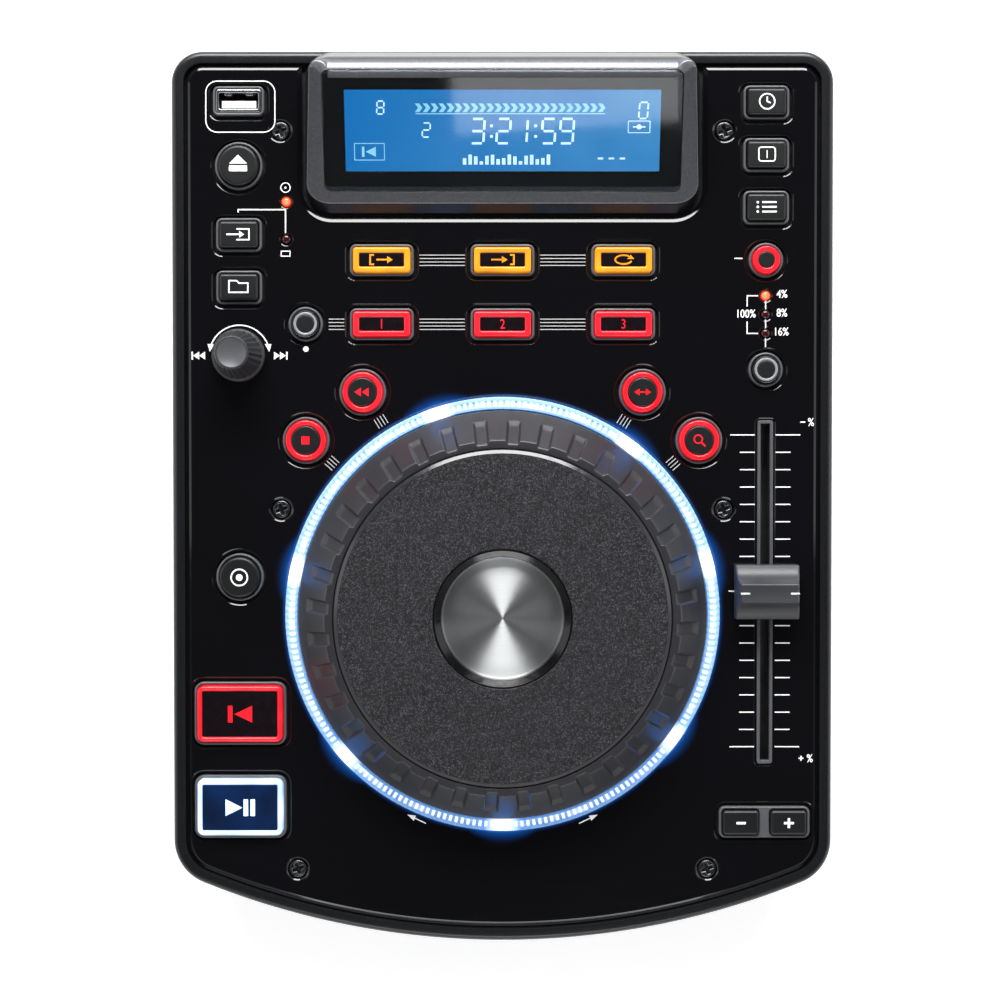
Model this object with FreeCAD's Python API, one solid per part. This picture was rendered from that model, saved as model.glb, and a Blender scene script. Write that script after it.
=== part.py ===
import FreeCAD, Part
import math
import os

# Tabletop disc player for DJs: a wedge-shaped moulded housing with a disc slot in its curved front,
# a black face plate full of keys, a notched jog wheel on a bearing, a pitch fader, a track knob that
# turns and pushes, and a display in a raised hood at the rear.
# Sizes are in millimetres and degrees. +X is the user's right, +Y the rear and +Z up. The origin is
# on the table, under the middle of the body.
# The face plate leans back. Most places are given on it: u to the right, v up the slope, and w out
# of the plate, with w = 0 on the plate's top face.

Vector = FreeCAD.Vector
UP = Vector(0, 0, 1)

# Housing
PANEL_TILT = 4.0
PANEL_HEIGHT = 70.0
NOSE_RADIUS = 257.0
FRONT_CORNER_RADIUS = 15.0
REAR_CORNER_RADIUS = 10.0
WALL = 2.5
BODY_STEP = 0.6
BASE_EDGE = 2.0
PARTING_DEPTH = 16.0
RIM_WIDTH = 4.1
RIM_RISE = 0.8
RIM_EDGE = 1.6
FOOT_HEIGHT = 5.0
FOOT_RADIUS = 8.0
FOOT_SEAT_DEPTH = 1.0
FOOT_SIDE_INSET = 23.0
FOOT_REAR_INSET = 27.0
FOOT_FRONT_INSET = 36.0
FLOOR_THICKNESS = 3.0

# Face plate and the deck under it
PLATE_THICKNESS = 2.0
PLATE_GAP = 0.5
PLATE_EDGE = 0.8
DECK_THICKNESS = 2.5

# Keys
KEY_GAP = 0.25
COLLAR_WALL = 0.85
COLLAR_RISE = 0.9
COLLAR_PLATE_GAP = 0.4
KEY_TRAVEL = 0.8
KEY_FLANGE = 1.0
KEY_FLANGE_THICKNESS = 1.1
KEY_STEM = 3.0
KEY_EDGE = 0.5
SMALL_KEY_WIDTH = 12.4
SMALL_KEY_HEIGHT = 8.5
LONG_KEY_WIDTH = 18.2
LONG_KEY_HEIGHT = 7.9
PAD_WIDTH = 27.2
PAD_HEIGHT = 18.0
BEND_KEY_WIDTH = 11.6
BEND_KEY_HEIGHT = 7.9
BEND_KEY_PITCH = 15.3
RED_KEY_DIAMETER = 12.8
DOT_KEY_DIAMETER = 8.8
ROUND_KEY_DIAMETER = 13.0
SMALL_KEY_CORNER = 1.0
PAD_CORNER = 2.0
KEY_RISE = 2.2
PAD_RISE = 2.6

# Where the keys stand on the face plate
COLUMN_INSET = 21.6
RING_TO_PAD = 1.0
RING_TO_NOSE = 35.9
RING_TO_HOT_CUE = 19.25
RING_TO_ARC_KEY = 8.0
HOOD_TO_LOOP = 11.05
KEY_ROW_PITCH = 20.4
LOOP_PITCH = 38.5
ARC_KEY_ANGLES = (32.2, 48.5)
SMALL_KEY_PITCH = 16.7
EJECT_FROM_REAR = 36.6
SOURCE_FROM_REAR = 58.5
TIME_FROM_REAR = 16.4
TAP_FROM_NOSE = 117.1
PLAY_FROM_NOSE = 43.4
PAD_PITCH = 30.0
BEND_FROM_NOSE = 38.4
RANGE_TO_HOT_CUE = 14.5
RECORD_FROM_COLUMN = 21.2

# Boards under the deck
BOARD_DEPTH = 12.0
BOARD_THICKNESS = 1.6
BOARD_INSET = 9.0
SWITCH_SIZE = 6.0
SWITCH_HEIGHT = 4.3
CLEARANCE = 0.1

# Jog wheel, heights over the face plate
JOG_RADIUS = 65.0
JOG_TOP_RADIUS = 55.4
JOG_BASE_HEIGHT = 2.2
JOG_SKIRT = 3.0
JOG_HEIGHT = 19.0
JOG_WALL = 2.6
JOG_WEB = 3.0
HUB_WALL = 5.0
FIT_GAP = 0.02
DISC_RADIUS = 52.7
DISC_RISE = 0.9
DISC_BEVEL = 1.4
DISC_SEAT_DEPTH = 1.4
CAP_RADIUS = 21.6
CAP_FLAT_RADIUS = 18.9
CAP_DEPTH = 2.5
CAP_THICKNESS = 0.8
NOTCH_COUNT = 36
NOTCH_WIDTH = 3.8
NOTCH_DEPTH = 1.0
NOTCH_START = 4.6
NOTCH_PHASE = 3.4
SHAFT_RADIUS = 4.0
SHAFT_BELOW = 20.0
SHAFT_CLEARANCE = 0.05
BEARING_RADIUS = 9.0
BEARING_FLANGE = 14.0
BEARING_BELOW = 15.5
BEARING_ABOVE = 8.0
ENCODER_DISC_RADIUS = 13.0
ENCODER_SLOTS = 12
RING_WIDTH = 4.0
RING_GAP = 0.4
RING_RISE = 2.6

# Pitch fader
FADER_TRAVEL = 100.0
FADER_FROM_NOSE = 112.7
FADER_SLOT_WIDTH = 3.0
FADER_FRAME_WALL = 1.0
FADER_SLOT_SPARE = 4.0
LEVER_WIDTH = 1.2
LEVER_LENGTH = 5.0
LEVER_FOOT = 2.0
LEVER_DROP = 6.0
FADER_BODY_WIDTH = 12.0
FADER_BODY_SPARE = 6.0
FADER_CAP_WIDTH = 20.2
FADER_CAP_LENGTH = 17.3
FADER_CAP_RIDGE = 5.8
FADER_CAP_HEIGHT = 11.5
FADER_CAP_SHOULDER = 5.0
FADER_CAP_LIFT = 1.6
FADER_CAP_DRAFT = 0.6

# Track knob and its encoder
KNOB_FROM_REAR = 96.9
KNOB_RADIUS = 8.4
KNOB_TOP_RADIUS = 5.2
KNOB_HEIGHT = 17.0
KNOB_SKIRT = 2.5
KNOB_LIFT = 1.5
KNOB_TRAVEL = 0.8
KNOB_SHAFT_RADIUS = 2.0
ROTOR_RADIUS = 3.0
ROTOR_WHEEL_RADIUS = 4.6
ENCODER_SIZE = 12.0
BUSHING_RADIUS = 4.2

# USB-A socket, lamps and screws in the face plate
USB_FROM_REAR = 16.0
USB_WIDTH = 14.4
USB_HEIGHT = 7.4
USB_INNER_WIDTH = 12.5
USB_INNER_HEIGHT = 5.1
USB_TONGUE = 1.8
LAMP_RADIUS = 1.5
LAMP_RISE = 0.8
LAMP_BESIDE_KEY = 15.0
LAMP_FROM_REAR = 47.9
LAMP_PITCH = 11.9
RANGE_LAMP_DROP = 11.3
RANGE_LAMP_PITCH = 6.0
SCREW_HEAD_RADIUS = 2.9
SCREW_HEAD_HEIGHT = 1.4
SCREW_RADIUS = 1.5
SCREW_LENGTH = 9.0
SCREW_WELL_GAP = 0.4
SCREW_ACROSS = 70.8
FRONT_SCREW_ACROSS = 65.8
REAR_SCREW_FROM_REAR = 25.2
MIDDLE_SCREW_FROM_NOSE = 138.8
FRONT_SCREW_FROM_NOSE = 23.1
BOSS_RADIUS = 3.6

# Display hood
HOOD_WIDTH = 125.6
HOOD_LENGTH = 51.0
HOOD_REAR_GAP = 0.5
HOOD_TILT = 18.0
HOOD_LIP = 3.5
HOOD_FRONT_SLOPE = 3.1
HOOD_SIDE_SLOPE = 3.3
HOOD_ROLL = 6.0
HOOD_CORNER = 8.5
HOOD_WALL = 3.5
WINDOW_WIDTH = 112.6
WINDOW_HEIGHT = 38.2
WINDOW_MARGIN = 3.1
WINDOW_THICKNESS = 1.5
WINDOW_SUNK = 0.3
WINDOW_LEDGE = 1.5
WINDOW_CORNER = 2.5
LCD_SIDE_MARGIN = 3.3
LCD_END_MARGIN = 2.6
LCD_THICKNESS = 6.0

# Disc slot and drive
SLOT_HEIGHT_Z = 30.0
SLOT_WIDTH = 124.0
SLOT_OPENING = 4.8
BEZEL_WIDTH = 134.0
BEZEL_HEIGHT = 13.0
BEZEL_PROUD = 0.8
BEZEL_DEPTH = 3.6
DRIVE_WIDTH = 146.0
DRIVE_LENGTH = 138.0
DRIVE_FROM_NOSE = 18.4
DRIVE_WALL = 1.5
DRIVE_FLOOR_Z = 12.0
DRIVE_TOP_Z = 39.5
DRIVE_BOSS_RADIUS = 4.0
SPINDLE_BACK = 66.0
DISC_THICKNESS = 1.2
MOTOR_RADIUS = 11.0
MOTOR_DROP = 4.0
TURNTABLE_RADIUS = 14.0
TURNTABLE_THICKNESS = 2.0
TURNTABLE_HUB_RADIUS = 7.4
TURNTABLE_HUB_RISE = 2.6
SPINDLE_RADIUS = 1.0
SPINDLE_LENGTH = 6.0
ROD_RADIUS = 1.5
ROD_SPACING = 44.0
ROD_HEIGHT_Z = 20.0
ROD_BLOCK = 4.0
SLED_LENGTH = 18.0
SLED_THICKNESS = 6.0
SLED_START = 14.5
SLED_SIDE = 4.5
LENS_RADIUS = 4.5
LENS_GAP = 1.9
ROLLER_RADIUS = 4.5
ROLLER_LENGTH = 118.0
ROLLER_BACK = 9.0
ROLLER_SHAFT_RADIUS = 1.5

# Rear panel and its sockets
POCKET_WIDTH = 170.0
POCKET_LOW_Z = 18.0
POCKET_HIGH_Z = 48.0
POCKET_DEPTH = 12.0
REAR_PLATE_THICKNESS = 1.2
REAR_PLATE_LAP = 2.2
SOCKET_HEIGHT_Z = 33.0
SOCKET_GAP = 0.1
LINE_SOCKET_PLACE = 30.0
LINE_SOCKET_RADIUS = 4.15
LINE_SOCKET_BORE = 3.3
LINE_SOCKET_REACH = 8.5
LINE_SOCKET_PITCH = 14.0
LINE_BLOCK_HEIGHT = 13.0
LINE_BLOCK_DEPTH = 10.0
USB_B_PLACE = 62.0
USB_B_WIDTH = 12.0
USB_B_HEIGHT = 11.0
USB_B_WALL = 0.5
USB_B_DEPTH = 14.0
USB_B_TONGUE_WIDTH = 5.6
USB_B_TONGUE_HEIGHT = 3.2
REMOTE_PLACE = 2.0
REMOTE_RADIUS = 3.9
REMOTE_BORE = 1.8
REMOTE_DEPTH = 12.0
INLET_PLACE = -62.0
INLET_FLANGE_WIDTH = 22.0
INLET_FLANGE_HEIGHT = 15.0
INLET_WIDTH = 16.2
INLET_HEIGHT = 8.6
INLET_DEPTH = 13.0
INLET_PIN_RADIUS = 1.2
INLET_PIN_SPACING = 8.6
INLET_WALL = 1.3
FLANGE_THICKNESS = 1.6
ROCKER_PLACE = -36.0
ROCKER_WIDTH = 10.0
ROCKER_HEIGHT = 15.6
ROCKER_ANGLE = 10.0
ROCKER_LIP_ANGLE = 32.0
ROCKER_HOLLOW = 0.9
ROCKER_PIVOT_RADIUS = 1.5
ROCKER_PIVOT_DEPTH = 3.0
SWITCH_WALL = 1.5
SWITCH_DEPTH = 13.0

BIG = 400.0
OVER = 5.0

# The body is as wide and as deep as what stands across it and along it
RING_INNER = JOG_RADIUS + RING_GAP
RING_OUTER = RING_INNER + RING_WIDTH
COLUMN_U = RING_OUTER + RING_TO_PAD + PAD_WIDTH / 2
BODY_WIDTH = 2 * (COLUMN_U + COLUMN_INSET)
JOG_FROM_NOSE = RING_OUTER + RING_TO_NOSE
JOG_TO_HOT_CUE = RING_OUTER + RING_TO_HOT_CUE + LONG_KEY_HEIGHT / 2
LOOP_FROM_REAR = HOOD_REAR_GAP + HOOD_LENGTH + HOOD_TO_LOOP + LONG_KEY_HEIGHT / 2
HOT_CUE_FROM_REAR = LOOP_FROM_REAR + KEY_ROW_PITCH
BODY_DEPTH = JOG_FROM_NOSE + JOG_TO_HOT_CUE + HOT_CUE_FROM_REAR
ARC_KEY_RADIUS = RING_OUTER + RING_TO_ARC_KEY + RED_KEY_DIAMETER / 2

# Derived places
HALF_WIDTH = BODY_WIDTH / 2
NOSE_V = -BODY_DEPTH / 2
REAR_V = BODY_DEPTH / 2
DECK_TOP = -PLATE_THICKNESS
DECK_BOTTOM = -PLATE_THICKNESS - DECK_THICKNESS
BOARD_TOP = -BOARD_DEPTH
JOG_V = NOSE_V + JOG_FROM_NOSE
FADER_V = NOSE_V + FADER_FROM_NOSE
KNOB_V = REAR_V - KNOB_FROM_REAR
HOOD_REAR_V = REAR_V - HOOD_REAR_GAP
HOOD_FRONT_V = HOOD_REAR_V - HOOD_LENGTH
LCD_WIDTH = WINDOW_WIDTH - 2 * LCD_SIDE_MARGIN
LCD_HEIGHT = WINDOW_HEIGHT - 2 * LCD_END_MARGIN
FLOOR_TOP_Z = FOOT_HEIGHT + FLOOR_THICKNESS
PANEL_SHIFT = -PARTING_DEPTH * math.sin(math.radians(PANEL_TILT)) / 2
DRIVE_FRONT_Y = NOSE_V + DRIVE_FROM_NOSE
SPINDLE_Y = DRIVE_FRONT_Y + SPINDLE_BACK


def on_panel(shape):
    """Moves a shape from the face plate's frame to its place over the table."""
    moved = shape.copy()
    lean = FreeCAD.Rotation(Vector(1, 0, 0), PANEL_TILT)
    base = Vector(0, PANEL_SHIFT, PANEL_HEIGHT)
    moved.Placement = FreeCAD.Placement(base, lean).multiply(moved.Placement)
    return moved


def on_hood(shape):
    """Moves a shape from the hood's sloping face to the face plate's frame.

    There y runs up the slope from the hood's front edge and z is out of the face.
    """
    moved = shape.copy()
    start = Vector(0, HOOD_FRONT_V + HOOD_FRONT_SLOPE, HOOD_LIP)
    lean = FreeCAD.Rotation(Vector(1, 0, 0), HOOD_TILT)
    moved.Placement = FreeCAD.Placement(start, lean).multiply(moved.Placement)
    return moved


def block(x_low, x_high, y_low, y_high, z_low, z_high):
    return Part.makeBox(x_high - x_low, y_high - y_low, z_high - z_low, Vector(x_low, y_low, z_low))


def centred_block(x, y, width, length, z_low, z_high):
    return block(x - width / 2, x + width / 2, y - length / 2, y + length / 2, z_low, z_high)


def rod(x, y, radius, z_low, z_high):
    return Part.makeCylinder(radius, z_high - z_low, Vector(x, y, z_low))


def tube(x, y, outer, inner, z_low, z_high):
    return rod(x, y, outer, z_low, z_high).cut(rod(x, y, inner, z_low - OVER, z_high + OVER))


def wire_from_points(points):
    return Part.makePolygon([Vector(*p) for p in points] + [Vector(*points[0])])


def prism(wire, reach):
    """A solid swept from a flat closed wire along the vector reach."""
    return Part.Face(wire).extrude(reach)


def arc_edge(centre, radius, start, end):
    circle = Part.Circle(centre, UP, radius)
    return Part.ArcOfCircle(circle, math.radians(start), math.radians(end)).toShape()


def rounded_rectangle(x, y, width, height, corner, z):
    """A closed wire of four lines and four arcs, anticlockwise."""
    half_w, half_h = width / 2, height / 2
    corners = [(half_w, half_h, 0), (-half_w, half_h, 90), (-half_w, -half_h, 180), (half_w, -half_h, 270)]
    arcs = []
    for corner_x, corner_y, start in corners:
        centre = Vector(
            x + corner_x - math.copysign(corner, corner_x),
            y + corner_y - math.copysign(corner, corner_y),
            z,
        )
        arcs.append(arc_edge(centre, corner, start, start + 90))
    edges = []
    for index, arc in enumerate(arcs):
        following = arcs[(index + 1) % 4]
        edges.append(arc)
        edges.append(Part.makeLine(arc.lastVertex().Point, following.firstVertex().Point))
    return Part.Wire(Part.__sortEdges__(edges))


def cut_corner_rectangle(x, y, width, height, corner, z):
    """A rectangle whose corners are cut straight, as on a small moulded key."""
    half_w, half_h = width / 2, height / 2
    points = [
        (x + half_w, y - half_h + corner, z),
        (x + half_w, y + half_h - corner, z),
        (x + half_w - corner, y + half_h, z),
        (x - half_w + corner, y + half_h, z),
        (x - half_w, y + half_h - corner, z),
        (x - half_w, y - half_h + corner, z),
        (x - half_w + corner, y - half_h, z),
        (x + half_w - corner, y - half_h, z),
    ]
    return wire_from_points(points)


def body_outline(inset, z):
    """The housing's plan, drawn in by inset: straight sides and rear, and a nose on one large arc."""
    half = HALF_WIDTH - inset
    rear = REAR_V - inset
    nose_centre = Vector(0, NOSE_V + NOSE_RADIUS, z)
    nose = NOSE_RADIUS - inset
    front_x = HALF_WIDTH - FRONT_CORNER_RADIUS
    drop = math.sqrt((NOSE_RADIUS - FRONT_CORNER_RADIUS) ** 2 - front_x**2)
    front_y = NOSE_V + NOSE_RADIUS - drop
    front_radius = FRONT_CORNER_RADIUS - inset
    rear_x = HALF_WIDTH - REAR_CORNER_RADIUS
    rear_y = REAR_V - REAR_CORNER_RADIUS
    rear_radius = REAR_CORNER_RADIUS - inset
    turn = math.degrees(math.atan2(front_x, drop))
    if rear_radius <= 0 or front_radius <= 0:
        raise ValueError("the outline is drawn in further than its corners allow")
    edges = [
        Part.makeLine(Vector(half, front_y, z), Vector(half, rear_y, z)),
        arc_edge(Vector(rear_x, rear_y, z), rear_radius, 0, 90),
        Part.makeLine(Vector(rear_x, rear, z), Vector(-rear_x, rear, z)),
        arc_edge(Vector(-rear_x, rear_y, z), rear_radius, 90, 180),
        Part.makeLine(Vector(-half, rear_y, z), Vector(-half, front_y, z)),
        arc_edge(Vector(-front_x, front_y, z), front_radius, 180, 270 - turn),
        arc_edge(nose_centre, nose, 270 - turn, 270 + turn),
        arc_edge(Vector(front_x, front_y, z), front_radius, 270 + turn, 360),
    ]
    return Part.Wire(edges)


def body_slab(inset, w_low, w_high):
    """The body's plan, drawn in the face plate's frame, between two heights over the plate."""
    return prism(body_outline(inset, w_low), Vector(0, 0, w_high - w_low))


class Key:
    """A key, its place on the face plate and its outline. A round key has no height."""

    def __init__(self, name, u, v, width, height=None, corner=SMALL_KEY_CORNER, rise=KEY_RISE):
        self.name = name
        self.u = u
        self.v = v
        self.width = width
        self.height = height
        self.corner = corner
        self.rise = rise

    def outline(self, grow, w):
        if self.height is None:
            circle = Part.makeCircle(self.width / 2 + grow, Vector(self.u, self.v, w))
            return Part.Wire([circle])
        width, height = self.width + 2 * grow, self.height + 2 * grow
        if self.corner == PAD_CORNER:
            return rounded_rectangle(self.u, self.v, width, height, self.corner + grow, w)
        return cut_corner_rectangle(self.u, self.v, width, height, self.corner + grow / 2, w)


def arc_key(name, angle):
    """A red key on the arc round the jog wheel, at an angle from straight back."""
    turn = math.radians(angle)
    u = ARC_KEY_RADIUS * math.sin(turn)
    return Key(name, u, JOG_V + ARC_KEY_RADIUS * math.cos(turn), RED_KEY_DIAMETER)


def small_key(name, u, from_rear):
    return Key(name, u, REAR_V - from_rear, SMALL_KEY_WIDTH, SMALL_KEY_HEIGHT)


def long_key(name, column, from_rear):
    return Key(name, column * LOOP_PITCH, REAR_V - from_rear, LONG_KEY_WIDTH, LONG_KEY_HEIGHT)


def pad_key(name, from_nose):
    return Key(name, -COLUMN_U, NOSE_V + from_nose, PAD_WIDTH, PAD_HEIGHT, PAD_CORNER, PAD_RISE)


def round_key(name, u, v, diameter):
    return Key(name, u, v, diameter)


def bend_key(name, side):
    u = COLUMN_U + side * BEND_KEY_PITCH / 2
    return Key(name, u, NOSE_V + BEND_FROM_NOSE, BEND_KEY_WIDTH, BEND_KEY_HEIGHT)


LEFT = -COLUMN_U
RIGHT = COLUMN_U
PITCH_RANGE_V = REAR_V - HOT_CUE_FROM_REAR - RANGE_TO_HOT_CUE
KEYS = [
    round_key("eject_button", LEFT, REAR_V - EJECT_FROM_REAR, ROUND_KEY_DIAMETER),
    small_key("source_button", LEFT, SOURCE_FROM_REAR),
    small_key("folder_button", LEFT, SOURCE_FROM_REAR + SMALL_KEY_PITCH),
    round_key("tap_button", LEFT, NOSE_V + TAP_FROM_NOSE, ROUND_KEY_DIAMETER),
    pad_key("cue_button", PLAY_FROM_NOSE + PAD_PITCH),
    pad_key("play_button", PLAY_FROM_NOSE),
    round_key("record_button", LEFT + RECORD_FROM_COLUMN, REAR_V - HOT_CUE_FROM_REAR, DOT_KEY_DIAMETER),
    long_key("loop_in_button", -1, LOOP_FROM_REAR),
    long_key("loop_out_button", 0, LOOP_FROM_REAR),
    long_key("reloop_button", 1, LOOP_FROM_REAR),
    long_key("hot_cue_1_button", -1, HOT_CUE_FROM_REAR),
    long_key("hot_cue_2_button", 0, HOT_CUE_FROM_REAR),
    long_key("hot_cue_3_button", 1, HOT_CUE_FROM_REAR),
    arc_key("reverse_button", -ARC_KEY_ANGLES[0]),
    arc_key("brake_button", -ARC_KEY_ANGLES[1]),
    arc_key("scratch_button", ARC_KEY_ANGLES[0]),
    arc_key("search_button", ARC_KEY_ANGLES[1]),
    small_key("time_button", RIGHT, TIME_FROM_REAR),
    small_key("single_button", RIGHT, TIME_FROM_REAR + SMALL_KEY_PITCH),
    small_key("program_button", RIGHT, TIME_FROM_REAR + 2 * SMALL_KEY_PITCH),
    round_key("master_tempo_button", RIGHT, REAR_V - LOOP_FROM_REAR, DOT_KEY_DIAMETER),
    round_key("pitch_range_button", RIGHT, PITCH_RANGE_V, DOT_KEY_DIAMETER),
    bend_key("bend_down_button", -1),
    bend_key("bend_up_button", 1),
]

BEND_WIDTH = BEND_KEY_WIDTH + BEND_KEY_PITCH
BEND_COLLAR = Key("bend_collar", COLUMN_U, NOSE_V + BEND_FROM_NOSE, BEND_WIDTH, BEND_KEY_HEIGHT)
SCREW_PLACES = [
    (side * across, along)
    for across, along in (
        (SCREW_ACROSS, REAR_V - REAR_SCREW_FROM_REAR),
        (SCREW_ACROSS, NOSE_V + MIDDLE_SCREW_FROM_NOSE),
        (FRONT_SCREW_ACROSS, NOSE_V + FRONT_SCREW_FROM_NOSE),
    )
    for side in (-1, 1)
]
RANGE_LAMP_V = REAR_V - LOOP_FROM_REAR - RANGE_LAMP_DROP
LAMP_PLACES = [
    (LEFT + LAMP_BESIDE_KEY, REAR_V - LAMP_FROM_REAR - index * LAMP_PITCH) for index in range(2)
] + [(RIGHT, RANGE_LAMP_V - index * RANGE_LAMP_PITCH) for index in range(3)]
USB_V = REAR_V - USB_FROM_REAR
FADER_LENGTH = FADER_TRAVEL + LEVER_LENGTH + 2 * FADER_SLOT_SPARE


def extruded(wire, w_low, w_high):
    """A solid from a flat wire drawn at height 0, moved to w_low and swept up to w_high."""
    solid = prism(wire, Vector(0, 0, w_high - w_low))
    solid.translate(Vector(0, 0, w_low))
    return solid


def key_shape(key):
    """A cap with a softened top edge, ears that catch under the deck, and a stem for its switch."""
    low = DECK_BOTTOM - CLEARANCE - KEY_FLANGE_THICKNESS
    cap = extruded(key.outline(0, 0), low, key.rise)
    if key.height:
        top = [edge for edge in cap.Edges if edge.BoundBox.ZMin > key.rise - 0.01]
        cap = cap.makeChamfer(KEY_EDGE, top)
    length = key.height or key.width
    ears = centred_block(
        key.u, key.v, key.width + 2 * KEY_FLANGE, length * 0.6, low, low + KEY_FLANGE_THICKNESS
    )
    stem_low = BOARD_TOP + SWITCH_HEIGHT + KEY_TRAVEL + CLEARANCE
    stem = centred_block(key.u, key.v, KEY_STEM, KEY_STEM, stem_low, low)
    return cap.fuse([ears, stem]).removeSplitter()


def lower_body(inset, z_low):
    """The lower body's form, from a height over the table up to the parting plane."""
    column = prism(body_outline(BODY_STEP + inset, z_low), Vector(0, 0, PANEL_HEIGHT))
    above = on_panel(block(-BIG, BIG, -BIG, BIG, -PARTING_DEPTH, BIG))
    return column.cut(above)


def foot_places():
    across = HALF_WIDTH - FOOT_SIDE_INSET
    ends = (FOOT_FRONT_INSET - BODY_DEPTH / 2, BODY_DEPTH / 2 - FOOT_REAR_INSET)
    return [(side * across, along) for side in (-1, 1) for along in ends]


def drive_boss_places():
    across = DRIVE_WIDTH / 2 - 2 * DRIVE_BOSS_RADIUS
    low = DRIVE_FRONT_Y + 3 * DRIVE_BOSS_RADIUS
    high = DRIVE_FRONT_Y + DRIVE_LENGTH - 3 * DRIVE_BOSS_RADIUS
    return [(side * across, y) for side in (-1, 1) for y in (low, high)]


def board_boss_places(board):
    x_low, x_high, y_low, y_high = board
    inset = 2 * DRIVE_BOSS_RADIUS
    return [(x, y) for x in (x_low + inset, x_high - inset) for y in (y_low + inset, y_high - inset)]


BOARD_FRONT_Y = DRIVE_FRONT_Y + DRIVE_LENGTH + 6.0
POCKET_Y = BODY_DEPTH / 2 - POCKET_DEPTH
BOARD_REAR_Y = POCKET_Y - 18.0
MAIN_BOARD = (-20.0, 84.0, BOARD_FRONT_Y, BOARD_REAR_Y)
POWER_BOARD = (-86.0, -26.0, BOARD_FRONT_Y, BOARD_REAR_Y)
BOARD_Z = DRIVE_FLOOR_Z


def pocket_block(grow, y_low, y_high):
    return block(
        -POCKET_WIDTH / 2 - grow,
        POCKET_WIDTH / 2 + grow,
        y_low,
        y_high,
        POCKET_LOW_Z - grow,
        POCKET_HIGH_Z + grow,
    )


def nose_shell(radius_out, radius_in, width, z_low, z_high):
    """A strip of the nose between two arcs about its centre, cut straight at its two ends."""
    centre = Vector(0, NOSE_V + NOSE_RADIUS, z_low)
    high = z_high - z_low
    ring = Part.makeCylinder(radius_out, high, centre).cut(Part.makeCylinder(radius_in, high, centre))
    return ring.common(block(-width / 2, width / 2, -BIG, 0, z_low, z_high))


def bottom_housing():
    """The lower shell, with its feet's seats, bosses and the recess for the rear panel."""
    outer = lower_body(0, FOOT_HEIGHT)
    rim = [edge for edge in outer.Edges if edge.BoundBox.ZMax < FOOT_HEIGHT + 0.01]
    outer = outer.makeChamfer(BASE_EDGE, rim)
    shell = outer.cut(lower_body(WALL, FLOOR_TOP_Z))
    liner = pocket_block(WALL, POCKET_Y, BODY_DEPTH / 2).common(lower_body(0, FOOT_HEIGHT))
    bosses = [rod(x, y, DRIVE_BOSS_RADIUS, FOOT_HEIGHT, DRIVE_FLOOR_Z) for x, y in drive_boss_places()]
    for board in (MAIN_BOARD, POWER_BOARD):
        bosses += [rod(x, y, DRIVE_BOSS_RADIUS, FOOT_HEIGHT, BOARD_Z) for x, y in board_boss_places(board)]
    shell = shell.fuse([liner] + bosses)
    shell = shell.cut(pocket_block(0, POCKET_Y - OVER, BODY_DEPTH))
    seats = [rod(x, y, FOOT_RADIUS + SOCKET_GAP, 0, FOOT_HEIGHT + FOOT_SEAT_DEPTH) for x, y in foot_places()]
    half = BEZEL_HEIGHT / 2 + SOCKET_GAP
    mouth = block(
        -BEZEL_WIDTH / 2 - SOCKET_GAP,
        BEZEL_WIDTH / 2 + SOCKET_GAP,
        -BIG,
        DRIVE_FRONT_Y,
        SLOT_HEIGHT_Z - half,
        SLOT_HEIGHT_Z + half,
    )
    return shell.cut(Part.makeCompound(seats)).cut(mouth).removeSplitter()


def rubber_feet():
    feet = []
    for x, y in foot_places():
        feet.append(rod(x, y, FOOT_RADIUS, 0, FOOT_HEIGHT + FOOT_SEAT_DEPTH))
    return feet


def key_holes(grow, w_low, w_high):
    return [extruded(key.outline(grow, 0), w_low, w_high) for key in KEYS]


def collar_keys():
    """The keys that have a collar of their own, and the one collar that the bend keys share."""
    return [key for key in KEYS if not key.name.startswith("bend")] + [BEND_COLLAR]


def hood_foot(grow, w_low, w_high):
    middle = HOOD_REAR_V - HOOD_LENGTH / 2
    outline = rounded_rectangle(
        0, middle, HOOD_WIDTH + 2 * grow, HOOD_LENGTH + 2 * grow, HOOD_CORNER + grow, 0
    )
    return extruded(outline, w_low, w_high)


def fader_window(grow, w_low, w_high):
    return centred_block(
        COLUMN_U, FADER_V, FADER_SLOT_WIDTH + 2 * grow, FADER_LENGTH + 2 * grow, w_low, w_high
    )


def usb_window(grow, w_low, w_high):
    return centred_block(LEFT, USB_V, USB_WIDTH + 2 * grow, USB_HEIGHT + 2 * grow, w_low, w_high)


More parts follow.
